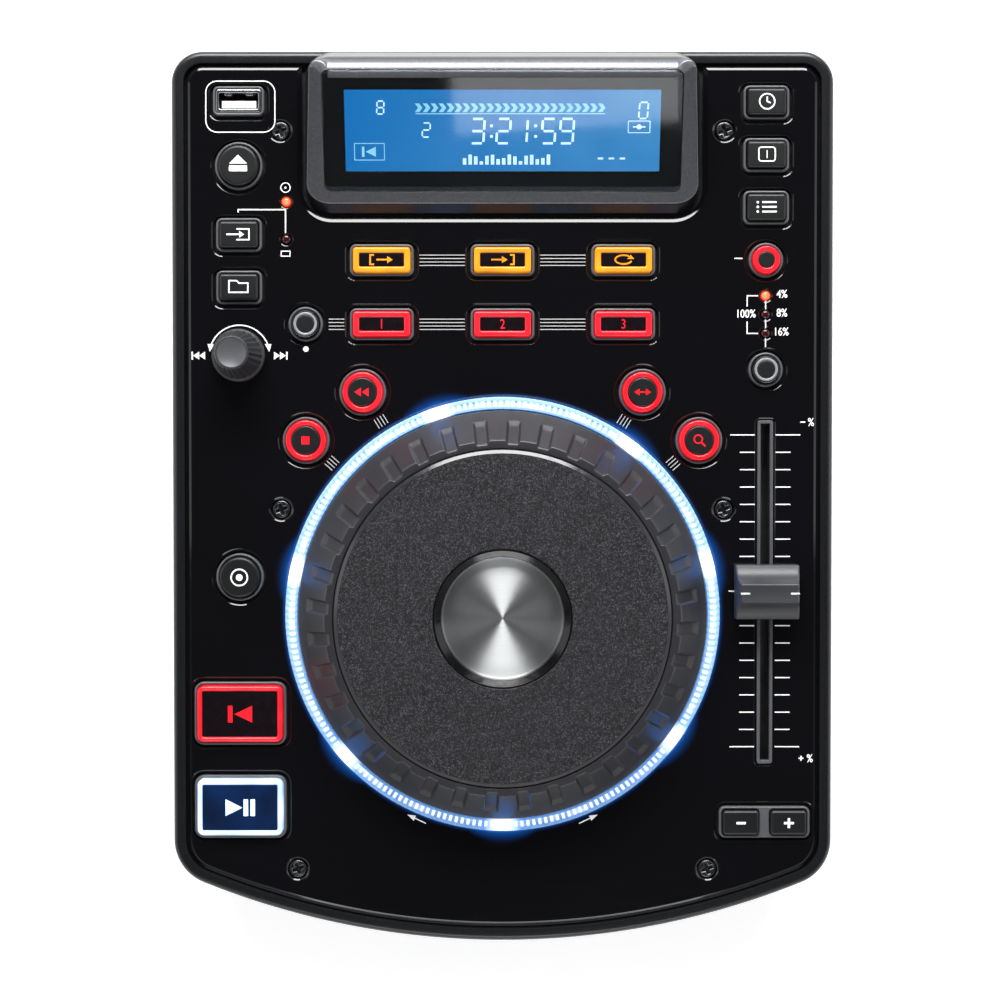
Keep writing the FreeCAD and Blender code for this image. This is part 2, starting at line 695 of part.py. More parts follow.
def top_housing():
    """The upper shell: its rim, the deck under the face plate, and a collar round each key."""
    slab = body_slab(0, -PARTING_DEPTH, RIM_RISE)
    edges = [edge for edge in slab.Edges if edge.BoundBox.ZMin > RIM_RISE - 0.01]
    slab = slab.makeChamfer(RIM_EDGE, edges)
    hollow = body_slab(WALL, -PARTING_DEPTH - OVER, DECK_BOTTOM)
    pocket = body_slab(RIM_WIDTH, DECK_TOP, OVER)
    shell = slab.cut(hollow).cut(pocket)
    grow = KEY_GAP + COLLAR_WALL
    collars = [extruded(key.outline(grow, 0), DECK_BOTTOM, COLLAR_RISE) for key in collar_keys()]
    collars.append(fader_window(FADER_FRAME_WALL, DECK_BOTTOM, COLLAR_RISE / 2))
    collars.append(usb_window(SOCKET_GAP + COLLAR_WALL, DECK_BOTTOM, COLLAR_RISE))
    bosses = [rod(u, v, BOSS_RADIUS, BOARD_TOP, DECK_BOTTOM) for u, v in SCREW_PLACES]
    shell = shell.fuse(collars + bosses)
    cuts = key_holes(KEY_GAP, BOARD_TOP, OVER)
    cuts += [rod(u, v, SCREW_RADIUS + SOCKET_GAP, BOARD_TOP - OVER, OVER) for u, v in SCREW_PLACES]
    cuts += [rod(u, v, LAMP_RADIUS + SOCKET_GAP, BOARD_TOP, OVER) for u, v in LAMP_PLACES]
    cuts.append(rod(0, JOG_V, BEARING_RADIUS + SOCKET_GAP, BOARD_TOP, OVER))
    cuts.append(rod(LEFT, KNOB_V, BUSHING_RADIUS + SOCKET_GAP, BOARD_TOP, OVER))
    cuts.append(fader_window(0, BOARD_TOP, OVER))
    cuts.append(usb_window(SOCKET_GAP, BOARD_TOP, OVER))
    cuts.append(hood_foot(0, 0, BIG / 4))
    cuts.append(hood_foot(-HOOD_WALL - HOOD_CORNER / 2, BOARD_TOP, OVER))
    return on_panel(shell.cut(Part.makeCompound(cuts)))


def face_plate():
    plate = body_slab(RIM_WIDTH + PLATE_GAP, DECK_TOP, 0)
    top = [edge for edge in plate.Edges if edge.BoundBox.ZMin > -0.01]
    plate = plate.makeChamfer(PLATE_EDGE, top)
    grow = KEY_GAP + COLLAR_WALL + COLLAR_PLATE_GAP
    low, high = DECK_TOP - OVER, OVER
    cuts = [extruded(key.outline(grow, 0), low, high) for key in collar_keys()]
    cuts += [rod(u, v, SCREW_HEAD_RADIUS + SCREW_WELL_GAP, low, high) for u, v in SCREW_PLACES]
    cuts += [rod(u, v, LAMP_RADIUS + SOCKET_GAP, low, high) for u, v in LAMP_PLACES]
    cuts.append(rod(0, JOG_V, RING_OUTER + SOCKET_GAP, low, high))
    cuts.append(rod(LEFT, KNOB_V, BUSHING_RADIUS + SOCKET_GAP, low, high))
    cuts.append(fader_window(FADER_FRAME_WALL + COLLAR_PLATE_GAP / 2, low, high))
    cuts.append(usb_window(SOCKET_GAP + COLLAR_WALL + COLLAR_PLATE_GAP, low, high))
    cuts.append(hood_foot(-HOOD_WALL - HOOD_CORNER / 2, low, high))
    return on_panel(plate.cut(Part.makeCompound(cuts)))


def hood_form(inset):
    """The hood's outer form, or a smaller one inside it: drafted sides under a sloping top."""
    turn = math.radians(HOOD_TILT)
    slope = math.tan(turn)
    front = HOOD_FRONT_V + HOOD_FRONT_SLOPE
    ridge_v = HOOD_REAR_V - HOOD_SIDE_SLOPE - inset
    roll = HOOD_ROLL - inset
    centre_v = ridge_v - roll
    centre_w = HOOD_LIP + (centre_v - front) * slope - HOOD_ROLL / math.cos(turn)
    crest = Vector(-BIG, centre_v - roll * math.sin(turn), centre_w + roll * math.cos(turn))
    between = Vector(-BIG, centre_v + roll * math.cos(turn), centre_w + roll * math.sin(turn))
    ridge = Vector(-BIG, ridge_v, centre_w)
    lip_w = HOOD_LIP - inset / math.cos(turn) + inset * slope
    lip = Vector(-BIG, front + inset, lip_w)
    toe = Vector(-BIG, HOOD_FRONT_V + inset, min(0, lip_w))
    heel = Vector(-BIG, HOOD_REAR_V - inset, min(0, lip_w))
    edges = [
        Part.makeLine(toe, lip),
        Part.makeLine(lip, crest),
        Part.Arc(crest, between, ridge).toShape(),
        Part.makeLine(ridge, heel),
        Part.makeLine(heel, toe),
    ]
    side = prism(Part.Wire(edges), Vector(2 * BIG, 0, 0))
    half = HOOD_WIDTH / 2 - inset
    tall = HOOD_LIP + HOOD_LENGTH * slope
    across = [(-half, 0, -1), (half, 0, -1), (half, 0, 0), (half - HOOD_SIDE_SLOPE, 0, tall)]
    across += [(HOOD_SIDE_SLOPE - half, 0, tall), (-half, 0, 0)]
    front_view = prism(wire_from_points(across), Vector(0, 2 * BIG, 0))
    return side.common(front_view)


def hood_panel(width, height, corner, low, high):
    """A rounded rectangle on the hood's sloping face, in the face plate's frame."""
    middle = WINDOW_MARGIN + WINDOW_HEIGHT / 2
    return on_hood(extruded(rounded_rectangle(0, middle, width, height, corner, 0), low, high))


def display_hood():
    hood = hood_form(0).common(hood_foot(0, 0, HOOD_LENGTH)).cut(hood_form(HOOD_WALL))
    seat = hood_panel(
        WINDOW_WIDTH + 2 * SOCKET_GAP,
        WINDOW_HEIGHT + 2 * SOCKET_GAP,
        WINDOW_CORNER,
        -WINDOW_THICKNESS - WINDOW_SUNK,
        OVER,
    )
    opening = hood_panel(
        WINDOW_WIDTH - 2 * WINDOW_LEDGE, WINDOW_HEIGHT - 2 * WINDOW_LEDGE, WINDOW_CORNER, -HOOD_WALL - 1, OVER
    )
    return on_panel(hood.cut(seat).cut(opening))


def display_window():
    low = -WINDOW_THICKNESS - WINDOW_SUNK
    return on_panel(hood_panel(WINDOW_WIDTH, WINDOW_HEIGHT, WINDOW_CORNER, low, -WINDOW_SUNK))


def lcd_module():
    """The glass under the window and the wider carrier that hangs it from the hood."""
    top = -WINDOW_THICKNESS - WINDOW_SUNK - SOCKET_GAP
    glass = hood_panel(LCD_WIDTH, LCD_HEIGHT, WINDOW_CORNER, top - LCD_THICKNESS, top)
    carrier = hood_panel(
        WINDOW_WIDTH, LCD_HEIGHT + WINDOW_LEDGE, WINDOW_CORNER, top - LCD_THICKNESS, -HOOD_WALL - SOCKET_GAP
    )
    inside = hood_form(HOOD_WALL + SOCKET_GAP)
    carrier = carrier.common(inside.fuse(hood_foot(-HOOD_WALL - HOOD_CORNER / 2, -HOOD_LIP, OVER / 2)))
    return on_panel(glass.fuse(carrier).removeSplitter())


def light_ring():
    return on_panel(tube(0, JOG_V, RING_OUTER, RING_INNER, DECK_TOP, RING_RISE))


def revolved(profile):
    """A solid of revolution about the jog wheel's axis, from points (radius, w)."""
    face = Part.Face(wire_from_points([(radius, 0, w) for radius, w in profile]))
    solid = face.revolve(Vector(), UP, 360)
    solid.translate(Vector(0, JOG_V, 0))
    return solid


def jog_bearing():
    """The steel bushing, pressed into a square plate that is screwed on the deck."""
    sleeve = rod(0, JOG_V, BEARING_RADIUS, -BEARING_BELOW, BEARING_ABOVE)
    plate = centred_block(0, JOG_V, 2 * BEARING_FLANGE, 2 * BEARING_FLANGE, DECK_TOP, 0)
    bore = rod(0, JOG_V, SHAFT_RADIUS + SHAFT_CLEARANCE, -BEARING_BELOW - 1, BEARING_ABOVE + 1)
    return on_panel(sleeve.fuse(plate).cut(bore))


def jog_shaft():
    """The shaft, and the slotted disc on its lower end that the speed sensor reads."""
    low = -SHAFT_BELOW
    shaft = rod(0, JOG_V, SHAFT_RADIUS, low, JOG_HEIGHT - JOG_WEB - DISC_SEAT_DEPTH - CAP_DEPTH)
    disc_low = -BEARING_BELOW - 2 * SOCKET_GAP - 1.5
    disc = rod(0, JOG_V, ENCODER_DISC_RADIUS, disc_low, disc_low + 1.5)
    slots = []
    for index in range(ENCODER_SLOTS):
        slot = centred_block(ENCODER_DISC_RADIUS - 1.5, 0, 5, 2, disc_low - 1, disc_low + 3)
        slot.rotate(Vector(), UP, index * 360 / ENCODER_SLOTS)
        slot.translate(Vector(0, JOG_V, 0))
        slots.append(slot)
    return on_panel(shaft.fuse(disc.cut(Part.makeCompound(slots))))


def jog_platter():
    """The moulded wheel: a hollow cone with notches round it, a web, and a hub on the shaft."""
    top = JOG_HEIGHT
    web = top - DISC_SEAT_DEPTH - CAP_DEPTH - JOG_WEB
    hub_low = BEARING_ABOVE + 0.5
    skirt = JOG_BASE_HEIGHT + JOG_SKIRT
    profile = [
        (SHAFT_RADIUS + FIT_GAP, hub_low),
        (SHAFT_RADIUS + HUB_WALL, hub_low),
        (SHAFT_RADIUS + HUB_WALL, web),
        (JOG_TOP_RADIUS - JOG_WALL, web),
        (JOG_RADIUS - JOG_WALL, skirt),
        (JOG_RADIUS - JOG_WALL, JOG_BASE_HEIGHT),
        (JOG_RADIUS, JOG_BASE_HEIGHT),
        (JOG_RADIUS, skirt),
        (JOG_TOP_RADIUS, top),
        (DISC_RADIUS + SOCKET_GAP, top),
        (DISC_RADIUS + SOCKET_GAP, top - DISC_SEAT_DEPTH),
        (CAP_RADIUS, top - DISC_SEAT_DEPTH),
        (CAP_RADIUS - 2, web + JOG_WEB),
        (SHAFT_RADIUS + FIT_GAP, web + JOG_WEB),
    ]
    platter = revolved(profile)
    slope = math.degrees(math.atan2(JOG_RADIUS - JOG_TOP_RADIUS, top - skirt))
    notches = []
    for index in range(NOTCH_COUNT):
        trough = block(-NOTCH_DEPTH, OVER, -NOTCH_WIDTH / 2, NOTCH_WIDTH / 2, 0, BIG / 8)
        trough.rotate(Vector(), Vector(0, 1, 0), -slope)
        reach = JOG_RADIUS - NOTCH_START * math.tan(math.radians(slope))
        trough.translate(Vector(reach, 0, skirt + NOTCH_START))
        trough.rotate(Vector(), UP, 90 - NOTCH_PHASE - index * 360 / NOTCH_COUNT)
        trough.translate(Vector(0, JOG_V, 0))
        notches.append(trough)
    return on_panel(platter.cut(Part.makeCompound(notches)))


def jog_touch_disc():
    top = JOG_HEIGHT + DISC_RISE
    low = JOG_HEIGHT - DISC_SEAT_DEPTH
    profile = [
        (CAP_RADIUS + SOCKET_GAP, low),
        (DISC_RADIUS, low),
        (DISC_RADIUS, JOG_HEIGHT),
        (DISC_RADIUS - DISC_BEVEL, top),
        (CAP_RADIUS + SOCKET_GAP, top),
    ]
    return on_panel(revolved(profile))


def jog_cap():
    """The spun metal dish in the middle of the touch disc."""
    top = JOG_HEIGHT + DISC_RISE
    floor = JOG_HEIGHT - DISC_SEAT_DEPTH - CAP_DEPTH + CAP_THICKNESS
    profile = [
        (0, floor - CAP_THICKNESS),
        (CAP_FLAT_RADIUS, floor - CAP_THICKNESS),
        (CAP_RADIUS, top),
        (CAP_FLAT_RADIUS, floor),
        (0, floor),
    ]
    return on_panel(revolved(profile))


def control_board():
    """The board under the deck, cut away round the fader, with a switch under each key."""
    board = body_slab(BOARD_INSET, BOARD_TOP - BOARD_THICKNESS, BOARD_TOP)
    low, high = BOARD_TOP - OVER, 0
    cuts = [rod(0, JOG_V, BEARING_RADIUS + 1, low, high)]
    cuts.append(
        centred_block(
            COLUMN_U + BOARD_INSET,
            FADER_V,
            FADER_BODY_WIDTH + 2 * (BOARD_INSET + 1),
            FADER_LENGTH + 2 * FADER_BODY_SPARE + 2,
            low,
            high,
        )
    )
    cuts += [rod(u, v, SCREW_RADIUS + SOCKET_GAP, low, high) for u, v in SCREW_PLACES]
    board = board.cut(Part.makeCompound(cuts))
    switches = []
    for key in KEYS:
        high = BOARD_TOP + SWITCH_HEIGHT
        switches.append(centred_block(key.u, key.v, SWITCH_SIZE, SWITCH_SIZE, BOARD_TOP, high))
    return on_panel(board.fuse(switches))


def fader_body():
    """A sheet metal channel under the deck, with the lever's slot along its top."""
    length = FADER_LENGTH + 2 * FADER_BODY_SPARE
    high = DECK_BOTTOM
    low = high - 10
    case = centred_block(COLUMN_U, FADER_V, FADER_BODY_WIDTH, length, low, high)
    inside = centred_block(COLUMN_U, FADER_V, FADER_BODY_WIDTH - 2, length - 2, low + 1, high - 1)
    return on_panel(case.cut(inside).cut(fader_window(0, high - 2, high + 1)))


def fader_lever():
    width = FADER_BODY_WIDTH - 2.4
    low = DECK_BOTTOM - LEVER_DROP
    foot = centred_block(COLUMN_U, FADER_V, width, LEVER_LENGTH + 4, low, low + LEVER_FOOT)
    top = FADER_CAP_LIFT + LEVER_LENGTH
    blade = centred_block(COLUMN_U, FADER_V, LEVER_WIDTH, LEVER_LENGTH, low, top)
    return on_panel(foot.fuse(blade))


def fader_cap():
    """The finger rest: two hollowed slopes with a raised ridge between them."""
    low = FADER_CAP_LIFT
    half = FADER_CAP_LENGTH / 2
    ridge = FADER_CAP_RIDGE / 2
    shoulder = low + FADER_CAP_SHOULDER
    top = low + FADER_CAP_HEIGHT
    left = -FADER_CAP_WIDTH / 2

    def scoop(end):
        start = Vector(left, end * half, shoulder)
        finish = Vector(left, end * ridge, top)
        middle = (start + finish) * 0.5 + Vector(0, -end * 1.1, -1.1)
        return start, middle, finish

    rear, front = scoop(1), scoop(-1)
    corner = Vector(left, -half, low)
    other = Vector(left, half, low)
    edges = [
        Part.makeLine(corner, other),
        Part.makeLine(other, rear[0]),
        Part.Arc(*rear).toShape(),
        Part.makeLine(rear[2], front[2]),
        Part.Arc(front[2], front[1], front[0]).toShape(),
        Part.makeLine(front[0], corner),
    ]
    body = prism(Part.Wire(edges), Vector(FADER_CAP_WIDTH, 0, 0))
    draft = []
    for side in (-1, 1):
        wedge = [
            (side * FADER_CAP_WIDTH / 2, -BIG, shoulder),
            (side * (FADER_CAP_WIDTH / 2 - FADER_CAP_DRAFT * 2), -BIG, top + 0.1),
            (side * FADER_CAP_WIDTH, -BIG, top + 0.1),
        ]
        draft.append(prism(wire_from_points(wedge), Vector(0, 2 * BIG, 0)))
    body = body.cut(Part.makeCompound(draft))
    body.translate(Vector(COLUMN_U, FADER_V, 0))
    gap = 0.05
    pocket = centred_block(
        COLUMN_U, FADER_V, LEVER_WIDTH + 2 * gap, LEVER_LENGTH + 2 * gap, low - 1, low + LEVER_LENGTH + gap
    )
    return on_panel(body.cut(pocket))


def encoder_body():
    low = BOARD_TOP
    case = centred_block(LEFT, KNOB_V, ENCODER_SIZE, ENCODER_SIZE, low, DECK_BOTTOM)
    bushing = rod(LEFT, KNOB_V, BUSHING_RADIUS, DECK_BOTTOM, 0.4)
    chamber = rod(LEFT, KNOB_V, ROTOR_WHEEL_RADIUS + SHAFT_CLEARANCE, low + 1, DECK_BOTTOM - 1)
    bore = rod(LEFT, KNOB_V, ROTOR_RADIUS + SHAFT_CLEARANCE, DECK_BOTTOM - 2, 1)
    return on_panel(case.fuse(bushing).cut(chamber).cut(bore))


def encoder_rotor():
    """The wheel in the encoder and the sleeve that carries the knob's shaft."""
    low = BOARD_TOP + 1 + SOCKET_GAP
    wheel = rod(LEFT, KNOB_V, ROTOR_WHEEL_RADIUS, low, DECK_BOTTOM - 1 - SOCKET_GAP)
    sleeve = rod(LEFT, KNOB_V, ROTOR_RADIUS, low, KNOB_LIFT)
    bore = rod(LEFT, KNOB_V, KNOB_SHAFT_RADIUS + SHAFT_CLEARANCE, low + 1, KNOB_LIFT + 1)
    return on_panel(wheel.fuse(sleeve).cut(bore))


def track_knob():
    """A tapering knurled knob with its shaft, hollow below so that it can be pushed."""
    low = KNOB_LIFT
    top = low + KNOB_HEIGHT
    skirt = low + KNOB_SKIRT
    hollow = low + KNOB_SKIRT
    shaft_low = BOARD_TOP + 2 + SOCKET_GAP * 2 + KNOB_TRAVEL
    profile = [
        (0, shaft_low),
        (KNOB_SHAFT_RADIUS, shaft_low),
        (KNOB_SHAFT_RADIUS, hollow),
        (KNOB_RADIUS - 1.5, hollow),
        (KNOB_RADIUS - 1.5, low),
        (KNOB_RADIUS, low),
        (KNOB_RADIUS, skirt),
        (KNOB_TOP_RADIUS, top),
        (0, top),
    ]
    knob = revolved(profile)
    knob.translate(Vector(LEFT, KNOB_V - JOG_V, 0))
    return on_panel(knob)


def usb_a_socket():
    """The steel shell with a tongue, standing on the control board and open upward."""
    low = BOARD_TOP
    shell = usb_window(0, low, COLLAR_RISE)
    inside = centred_block(LEFT, USB_V, USB_INNER_WIDTH, USB_INNER_HEIGHT, low + 1, OVER)
    tongue = centred_block(
        LEFT, USB_V + USB_INNER_HEIGHT / 2 - USB_TONGUE / 2, USB_INNER_WIDTH - 1.5, USB_TONGUE, low, -1
    )
    return on_panel(shell.cut(inside).fuse(tongue))


def indicator_leds():
    return [on_panel(rod(u, v, LAMP_RADIUS, BOARD_TOP, LAMP_RISE)) for u, v in LAMP_PLACES]


def housing_screws():
    screws = []
    for u, v in SCREW_PLACES:
        head = rod(u, v, SCREW_HEAD_RADIUS, DECK_TOP, DECK_TOP + SCREW_HEAD_HEIGHT)
        shank = rod(u, v, SCREW_RADIUS, DECK_TOP - SCREW_LENGTH, DECK_TOP)
        screws.append(on_panel(head.fuse(shank)))
    return screws


def slot_bezel():
    """The curved trim of the disc slot, which fills the opening in the nose."""
    half = BEZEL_HEIGHT / 2
    radius = NOSE_RADIUS - BODY_STEP + BEZEL_PROUD
    strip = nose_shell(
        radius, radius - BEZEL_DEPTH, BEZEL_WIDTH, SLOT_HEIGHT_Z - half, SLOT_HEIGHT_Z + half
    )
    return strip.cut(disc_slot())


def disc_slot():
    half = SLOT_OPENING / 2
    return centred_block(0, 0, SLOT_WIDTH, 4 * HALF_WIDTH, SLOT_HEIGHT_Z - half, SLOT_HEIGHT_Z + half)


def drive_chassis():
    """The folded metal tray: disc slot in front, motor, guide rods and the roller's bearings."""
    x = DRIVE_WIDTH / 2
    front, rear = DRIVE_FRONT_Y, DRIVE_FRONT_Y + DRIVE_LENGTH
    wall = DRIVE_WALL
    tray = block(-x, x, front, rear, DRIVE_FLOOR_Z, DRIVE_TOP_Z)
    tray = tray.cut(block(-x + wall, x - wall, front + wall, rear - wall, DRIVE_FLOOR_Z + wall, BIG))
    floor = DRIVE_FLOOR_Z + wall
    half = SLOT_OPENING / 2
    low, high = SLOT_HEIGHT_Z - half, SLOT_HEIGHT_Z + half
    tray = tray.cut(block(-SLOT_WIDTH / 2, SLOT_WIDTH / 2, front - 1, front + wall + 1, low, high))
    seat = SLOT_HEIGHT_Z - DISC_THICKNESS / 2 - TURNTABLE_THICKNESS
    motor = rod(0, SPINDLE_Y, MOTOR_RADIUS, DRIVE_FLOOR_Z, seat - MOTOR_DROP)
    parts = [motor]
    for side in (-1, 1):
        across = side * ROD_SPACING / 2
        ahead = SPINDLE_Y - MOTOR_RADIUS
        top = ROD_HEIGHT_Z + ROD_BLOCK
        post = centred_block(across, ahead, 2 * ROD_BLOCK, ROD_BLOCK, DRIVE_FLOOR_Z, top)
        start = Vector(across, ahead, ROD_HEIGHT_Z)
        guide = Part.makeCylinder(ROD_RADIUS, rear - ahead - wall / 2, start, Vector(0, 1, 0))
        parts += [post, guide]
    tray = tray.fuse(parts)
    bore = rod(0, SPINDLE_Y, SPINDLE_RADIUS + SHAFT_CLEARANCE, floor, BIG)
    roller_z, roller_y = roller_place()
    bearing = Part.makeCylinder(
        ROLLER_SHAFT_RADIUS + SHAFT_CLEARANCE, 2 * BIG, Vector(-BIG, roller_y, roller_z), Vector(1, 0, 0)
    )
    return tray.cut(bore).cut(bearing)


def roller_place():
    """Height and depth of the loading roller's axis, just under the disc."""
    return SLOT_HEIGHT_Z - DISC_THICKNESS / 2 - ROLLER_RADIUS, DRIVE_FRONT_Y + ROLLER_BACK


def loading_roller():
    """The rubber roller that draws a disc in, on its steel shaft."""
    z, y = roller_place()
    half = ROLLER_LENGTH / 2
    reach = DRIVE_WIDTH / 2
    profile = [
        (-reach, y, z),
        (-reach, y + ROLLER_SHAFT_RADIUS, z),
        (-half, y + ROLLER_SHAFT_RADIUS, z),
        (-half, y + ROLLER_RADIUS, z),
        (half, y + ROLLER_RADIUS, z),
        (half, y + ROLLER_SHAFT_RADIUS, z),
        (reach, y + ROLLER_SHAFT_RADIUS, z),
        (reach, y, z),
    ]
    return Part.Face(wire_from_points(profile)).revolve(Vector(0, y, z), Vector(1, 0, 0), 360)


def turntable():
    seat = SLOT_HEIGHT_Z - DISC_THICKNESS / 2
    flange = rod(0, SPINDLE_Y, TURNTABLE_RADIUS, seat - TURNTABLE_THICKNESS, seat)
    foot = Vector(0, SPINDLE_Y, seat)
    hub = Part.makeCone(TURNTABLE_HUB_RADIUS, TURNTABLE_HUB_RADIUS - 1, TURNTABLE_HUB_RISE, foot)
    low = seat - TURNTABLE_THICKNESS - MOTOR_DROP
    spindle = rod(0, SPINDLE_Y, SPINDLE_RADIUS, low - SPINDLE_LENGTH, seat)
    return flange.fuse([hub, spindle])


def laser_sled():
    """The carriage on its two rods, with the lens just under the disc."""
    start = SPINDLE_Y + SLED_START
    half = ROD_SPACING / 2 + SLED_SIDE
    low = ROD_HEIGHT_Z - SLED_THICKNESS / 2
    sled = block(-half, half, start, start + SLED_LENGTH, low, low + SLED_THICKNESS)
    lens = rod(0, start + SLED_LENGTH / 2, LENS_RADIUS, low, SLOT_HEIGHT_Z - DISC_THICKNESS / 2 - LENS_GAP)
    sled = sled.fuse(lens)
    bores = []
    for side in (-1, 1):
        end = Vector(side * ROD_SPACING / 2, -BIG / 2, ROD_HEIGHT_Z)
        bores.append(Part.makeCylinder(ROD_RADIUS + SHAFT_CLEARANCE, BIG, end, Vector(0, 1, 0)))
    return sled.cut(Part.makeCompound(bores))


def board_with(board, parts):
    """A circuit board on its bosses, with blocks for its larger components.

    Each component is given by its middle, as a share of the board each way, and its three sizes.
    """
    x_low, x_high, y_low, y_high = board
    sheet = block(x_low, x_high, y_low, y_high, BOARD_Z, BOARD_Z + BOARD_THICKNESS)
    solids = []
    for across, along, width, length, height in parts:
        x = x_low + across * (x_high - x_low)
        y = y_low + along * (y_high - y_low)
        solids.append(centred_block(x, y, width, length, BOARD_Z, BOARD_Z + BOARD_THICKNESS + height))
    return sheet.fuse(solids)


def main_board():
    parts = [(0.3, 0.5, 18, 18, 2), (0.6, 0.6, 12, 12, 2), (0.75, 0.25, 10, 20, 2), (0.2, 0.15, 24, 6, 6)]
    return board_with(MAIN_BOARD, parts)


def power_board():
    parts = [(0.5, 0.55, 26, 22, 20), (0.2, 0.88, 14, 8, 10)]
    parts += [(0.25, 0.15, 12, 12, 18), (0.75, 0.15, 12, 12, 18)]
    return board_with(POWER_BOARD, parts)


def rear_cuts(grow):
    """What passes through the rear panel: line sockets, USB-B, remote jack, inlet and rocker."""
    front = POCKET_Y - BODY_DEPTH / 4
    reach = BODY_DEPTH / 2
    z = SOCKET_HEIGHT_Z
    cuts = []
    for side in (-1, 1):
        x = LINE_SOCKET_PLACE + side * LINE_SOCKET_PITCH / 2
        cuts.append(Part.makeCylinder(LINE_SOCKET_RADIUS + grow, reach, Vector(x, front, z), Vector(0, 1, 0)))
    start = Vector(REMOTE_PLACE, front, z)
    cuts.append(Part.makeCylinder(REMOTE_RADIUS + grow, reach, start, Vector(0, 1, 0)))
    for place, width, height in (
        (USB_B_PLACE, USB_B_WIDTH, USB_B_HEIGHT),
        (INLET_PLACE, INLET_WIDTH + 2 * INLET_WALL, INLET_HEIGHT + 2 * INLET_WALL),
        (ROCKER_PLACE, ROCKER_WIDTH + 2 * SWITCH_WALL, ROCKER_HEIGHT + 2 * SWITCH_WALL),
    ):
        half_w, half_h = width / 2 + grow, height / 2 + grow
        cuts.append(block(place - half_w, place + half_w, front, front + reach, z - half_h, z + half_h))
    return cuts


def rear_panel():
    plate = pocket_block(REAR_PLATE_LAP, POCKET_Y - REAR_PLATE_THICKNESS, POCKET_Y)
    return plate.cut(Part.makeCompound(rear_cuts(SOCKET_GAP)))


def rear_block(place, width, height, y_low, y_high):
    z = SOCKET_HEIGHT_Z
    return block(place - width / 2, place + width / 2, y_low, y_high, z - height / 2, z + height / 2)


def rear_rod(place, radius, y_low, y_high):
    return Part.makeCylinder(radius, y_high - y_low, Vector(place, y_low, SOCKET_HEIGHT_Z), Vector(0, 1, 0))


def line_sockets():
    """A moulded block behind the panel with two sleeves, each with its centre contact."""
    back = POCKET_Y - REAR_PLATE_THICKNESS
    width = LINE_SOCKET_PITCH * 2
    body = rear_block(LINE_SOCKET_PLACE, width, LINE_BLOCK_HEIGHT, back - LINE_BLOCK_DEPTH, back)
    reach = POCKET_Y + LINE_SOCKET_REACH
    for side in (-1, 1):
        x = LINE_SOCKET_PLACE + side * LINE_SOCKET_PITCH / 2
        body = body.fuse(rear_rod(x, LINE_SOCKET_RADIUS, back - 1, reach))
        body = body.cut(rear_rod(x, LINE_SOCKET_BORE, back, reach + 1))
        contact = rear_block(x, LINE_SOCKET_BORE, LINE_SOCKET_BORE / 2, back - 1, reach - 2)
        body = body.fuse(contact)
    return body.removeSplitter()


def usb_b_socket():
    back = POCKET_Y - USB_B_DEPTH
    face = POCKET_Y + USB_B_WALL
    shell = rear_block(USB_B_PLACE, USB_B_WIDTH, USB_B_HEIGHT, back, face)
    width, height = USB_B_WIDTH - 4 * USB_B_WALL, USB_B_HEIGHT - 4 * USB_B_WALL
    inside = rear_block(USB_B_PLACE, width, height, back + 2, face + 1)
    tongue = rear_block(USB_B_PLACE, USB_B_TONGUE_WIDTH, USB_B_TONGUE_HEIGHT, back, face - 1)
    return shell.cut(inside).fuse(tongue)


def remote_jack():
    back = POCKET_Y - REMOTE_DEPTH
    side = 3 * REMOTE_RADIUS
    body = rear_block(REMOTE_PLACE, side, side, back, POCKET_Y - REAR_PLATE_THICKNESS)
    body = body.fuse(rear_rod(REMOTE_PLACE, REMOTE_RADIUS, back, POCKET_Y + FLANGE_THICKNESS))
    return body.cut(rear_rod(REMOTE_PLACE, REMOTE_BORE, back + 1, POCKET_Y + BIG / 8))


def mains_inlet():
    """A two-pin inlet whose cavity is a figure of eight, with a flange on the rear panel."""
    back = POCKET_Y - INLET_DEPTH
    face = POCKET_Y + FLANGE_THICKNESS
    flange = rear_block(INLET_PLACE, INLET_FLANGE_WIDTH, INLET_FLANGE_HEIGHT, POCKET_Y, face)
    cup = rear_block(INLET_PLACE, INLET_WIDTH + 2 * INLET_WALL, INLET_HEIGHT + 2 * INLET_WALL, back, POCKET_Y)
    body = flange.fuse(cup)
    lobe = (INLET_WIDTH - INLET_HEIGHT) / 2
    for side in (-1, 1):
        body = body.cut(rear_rod(INLET_PLACE + side * lobe, INLET_HEIGHT / 2, back + 1, face + 1))
    body = body.cut(rear_block(INLET_PLACE, 2 * lobe, INLET_HEIGHT * 0.8, back + 1, face + 1))
    for side in (-1, 1):
        x = INLET_PLACE + side * INLET_PIN_SPACING / 2
        body = body.fuse(rear_rod(x, INLET_PIN_RADIUS, back, POCKET_Y - 1))
    return body


def rocker_frame():
    """The power switch's case, open behind the rear panel and in front of it."""
    back = POCKET_Y - SWITCH_DEPTH
    face = POCKET_Y + FLANGE_THICKNESS
    outer_w, outer_h = ROCKER_WIDTH + 2 * SWITCH_WALL, ROCKER_HEIGHT + 2 * SWITCH_WALL
    flange = rear_block(ROCKER_PLACE, outer_w + 3, outer_h + 3, POCKET_Y, face)
    case = flange.fuse(rear_block(ROCKER_PLACE, outer_w, outer_h, back, POCKET_Y))
    case = case.cut(rear_block(ROCKER_PLACE, ROCKER_WIDTH, ROCKER_HEIGHT, back + SWITCH_WALL, face + 1))
    pivot = Part.makeCylinder(
        ROCKER_PIVOT_RADIUS + SHAFT_CLEARANCE,
        ROCKER_WIDTH + SWITCH_WALL,
        Vector(ROCKER_PLACE - (ROCKER_WIDTH + SWITCH_WALL) / 2, rocker_axis_y(), SOCKET_HEIGHT_Z),
        Vector(1, 0, 0),
    )
    return case.cut(pivot)


def rocker_axis_y():
    return POCKET_Y - ROCKER_PIVOT_DEPTH


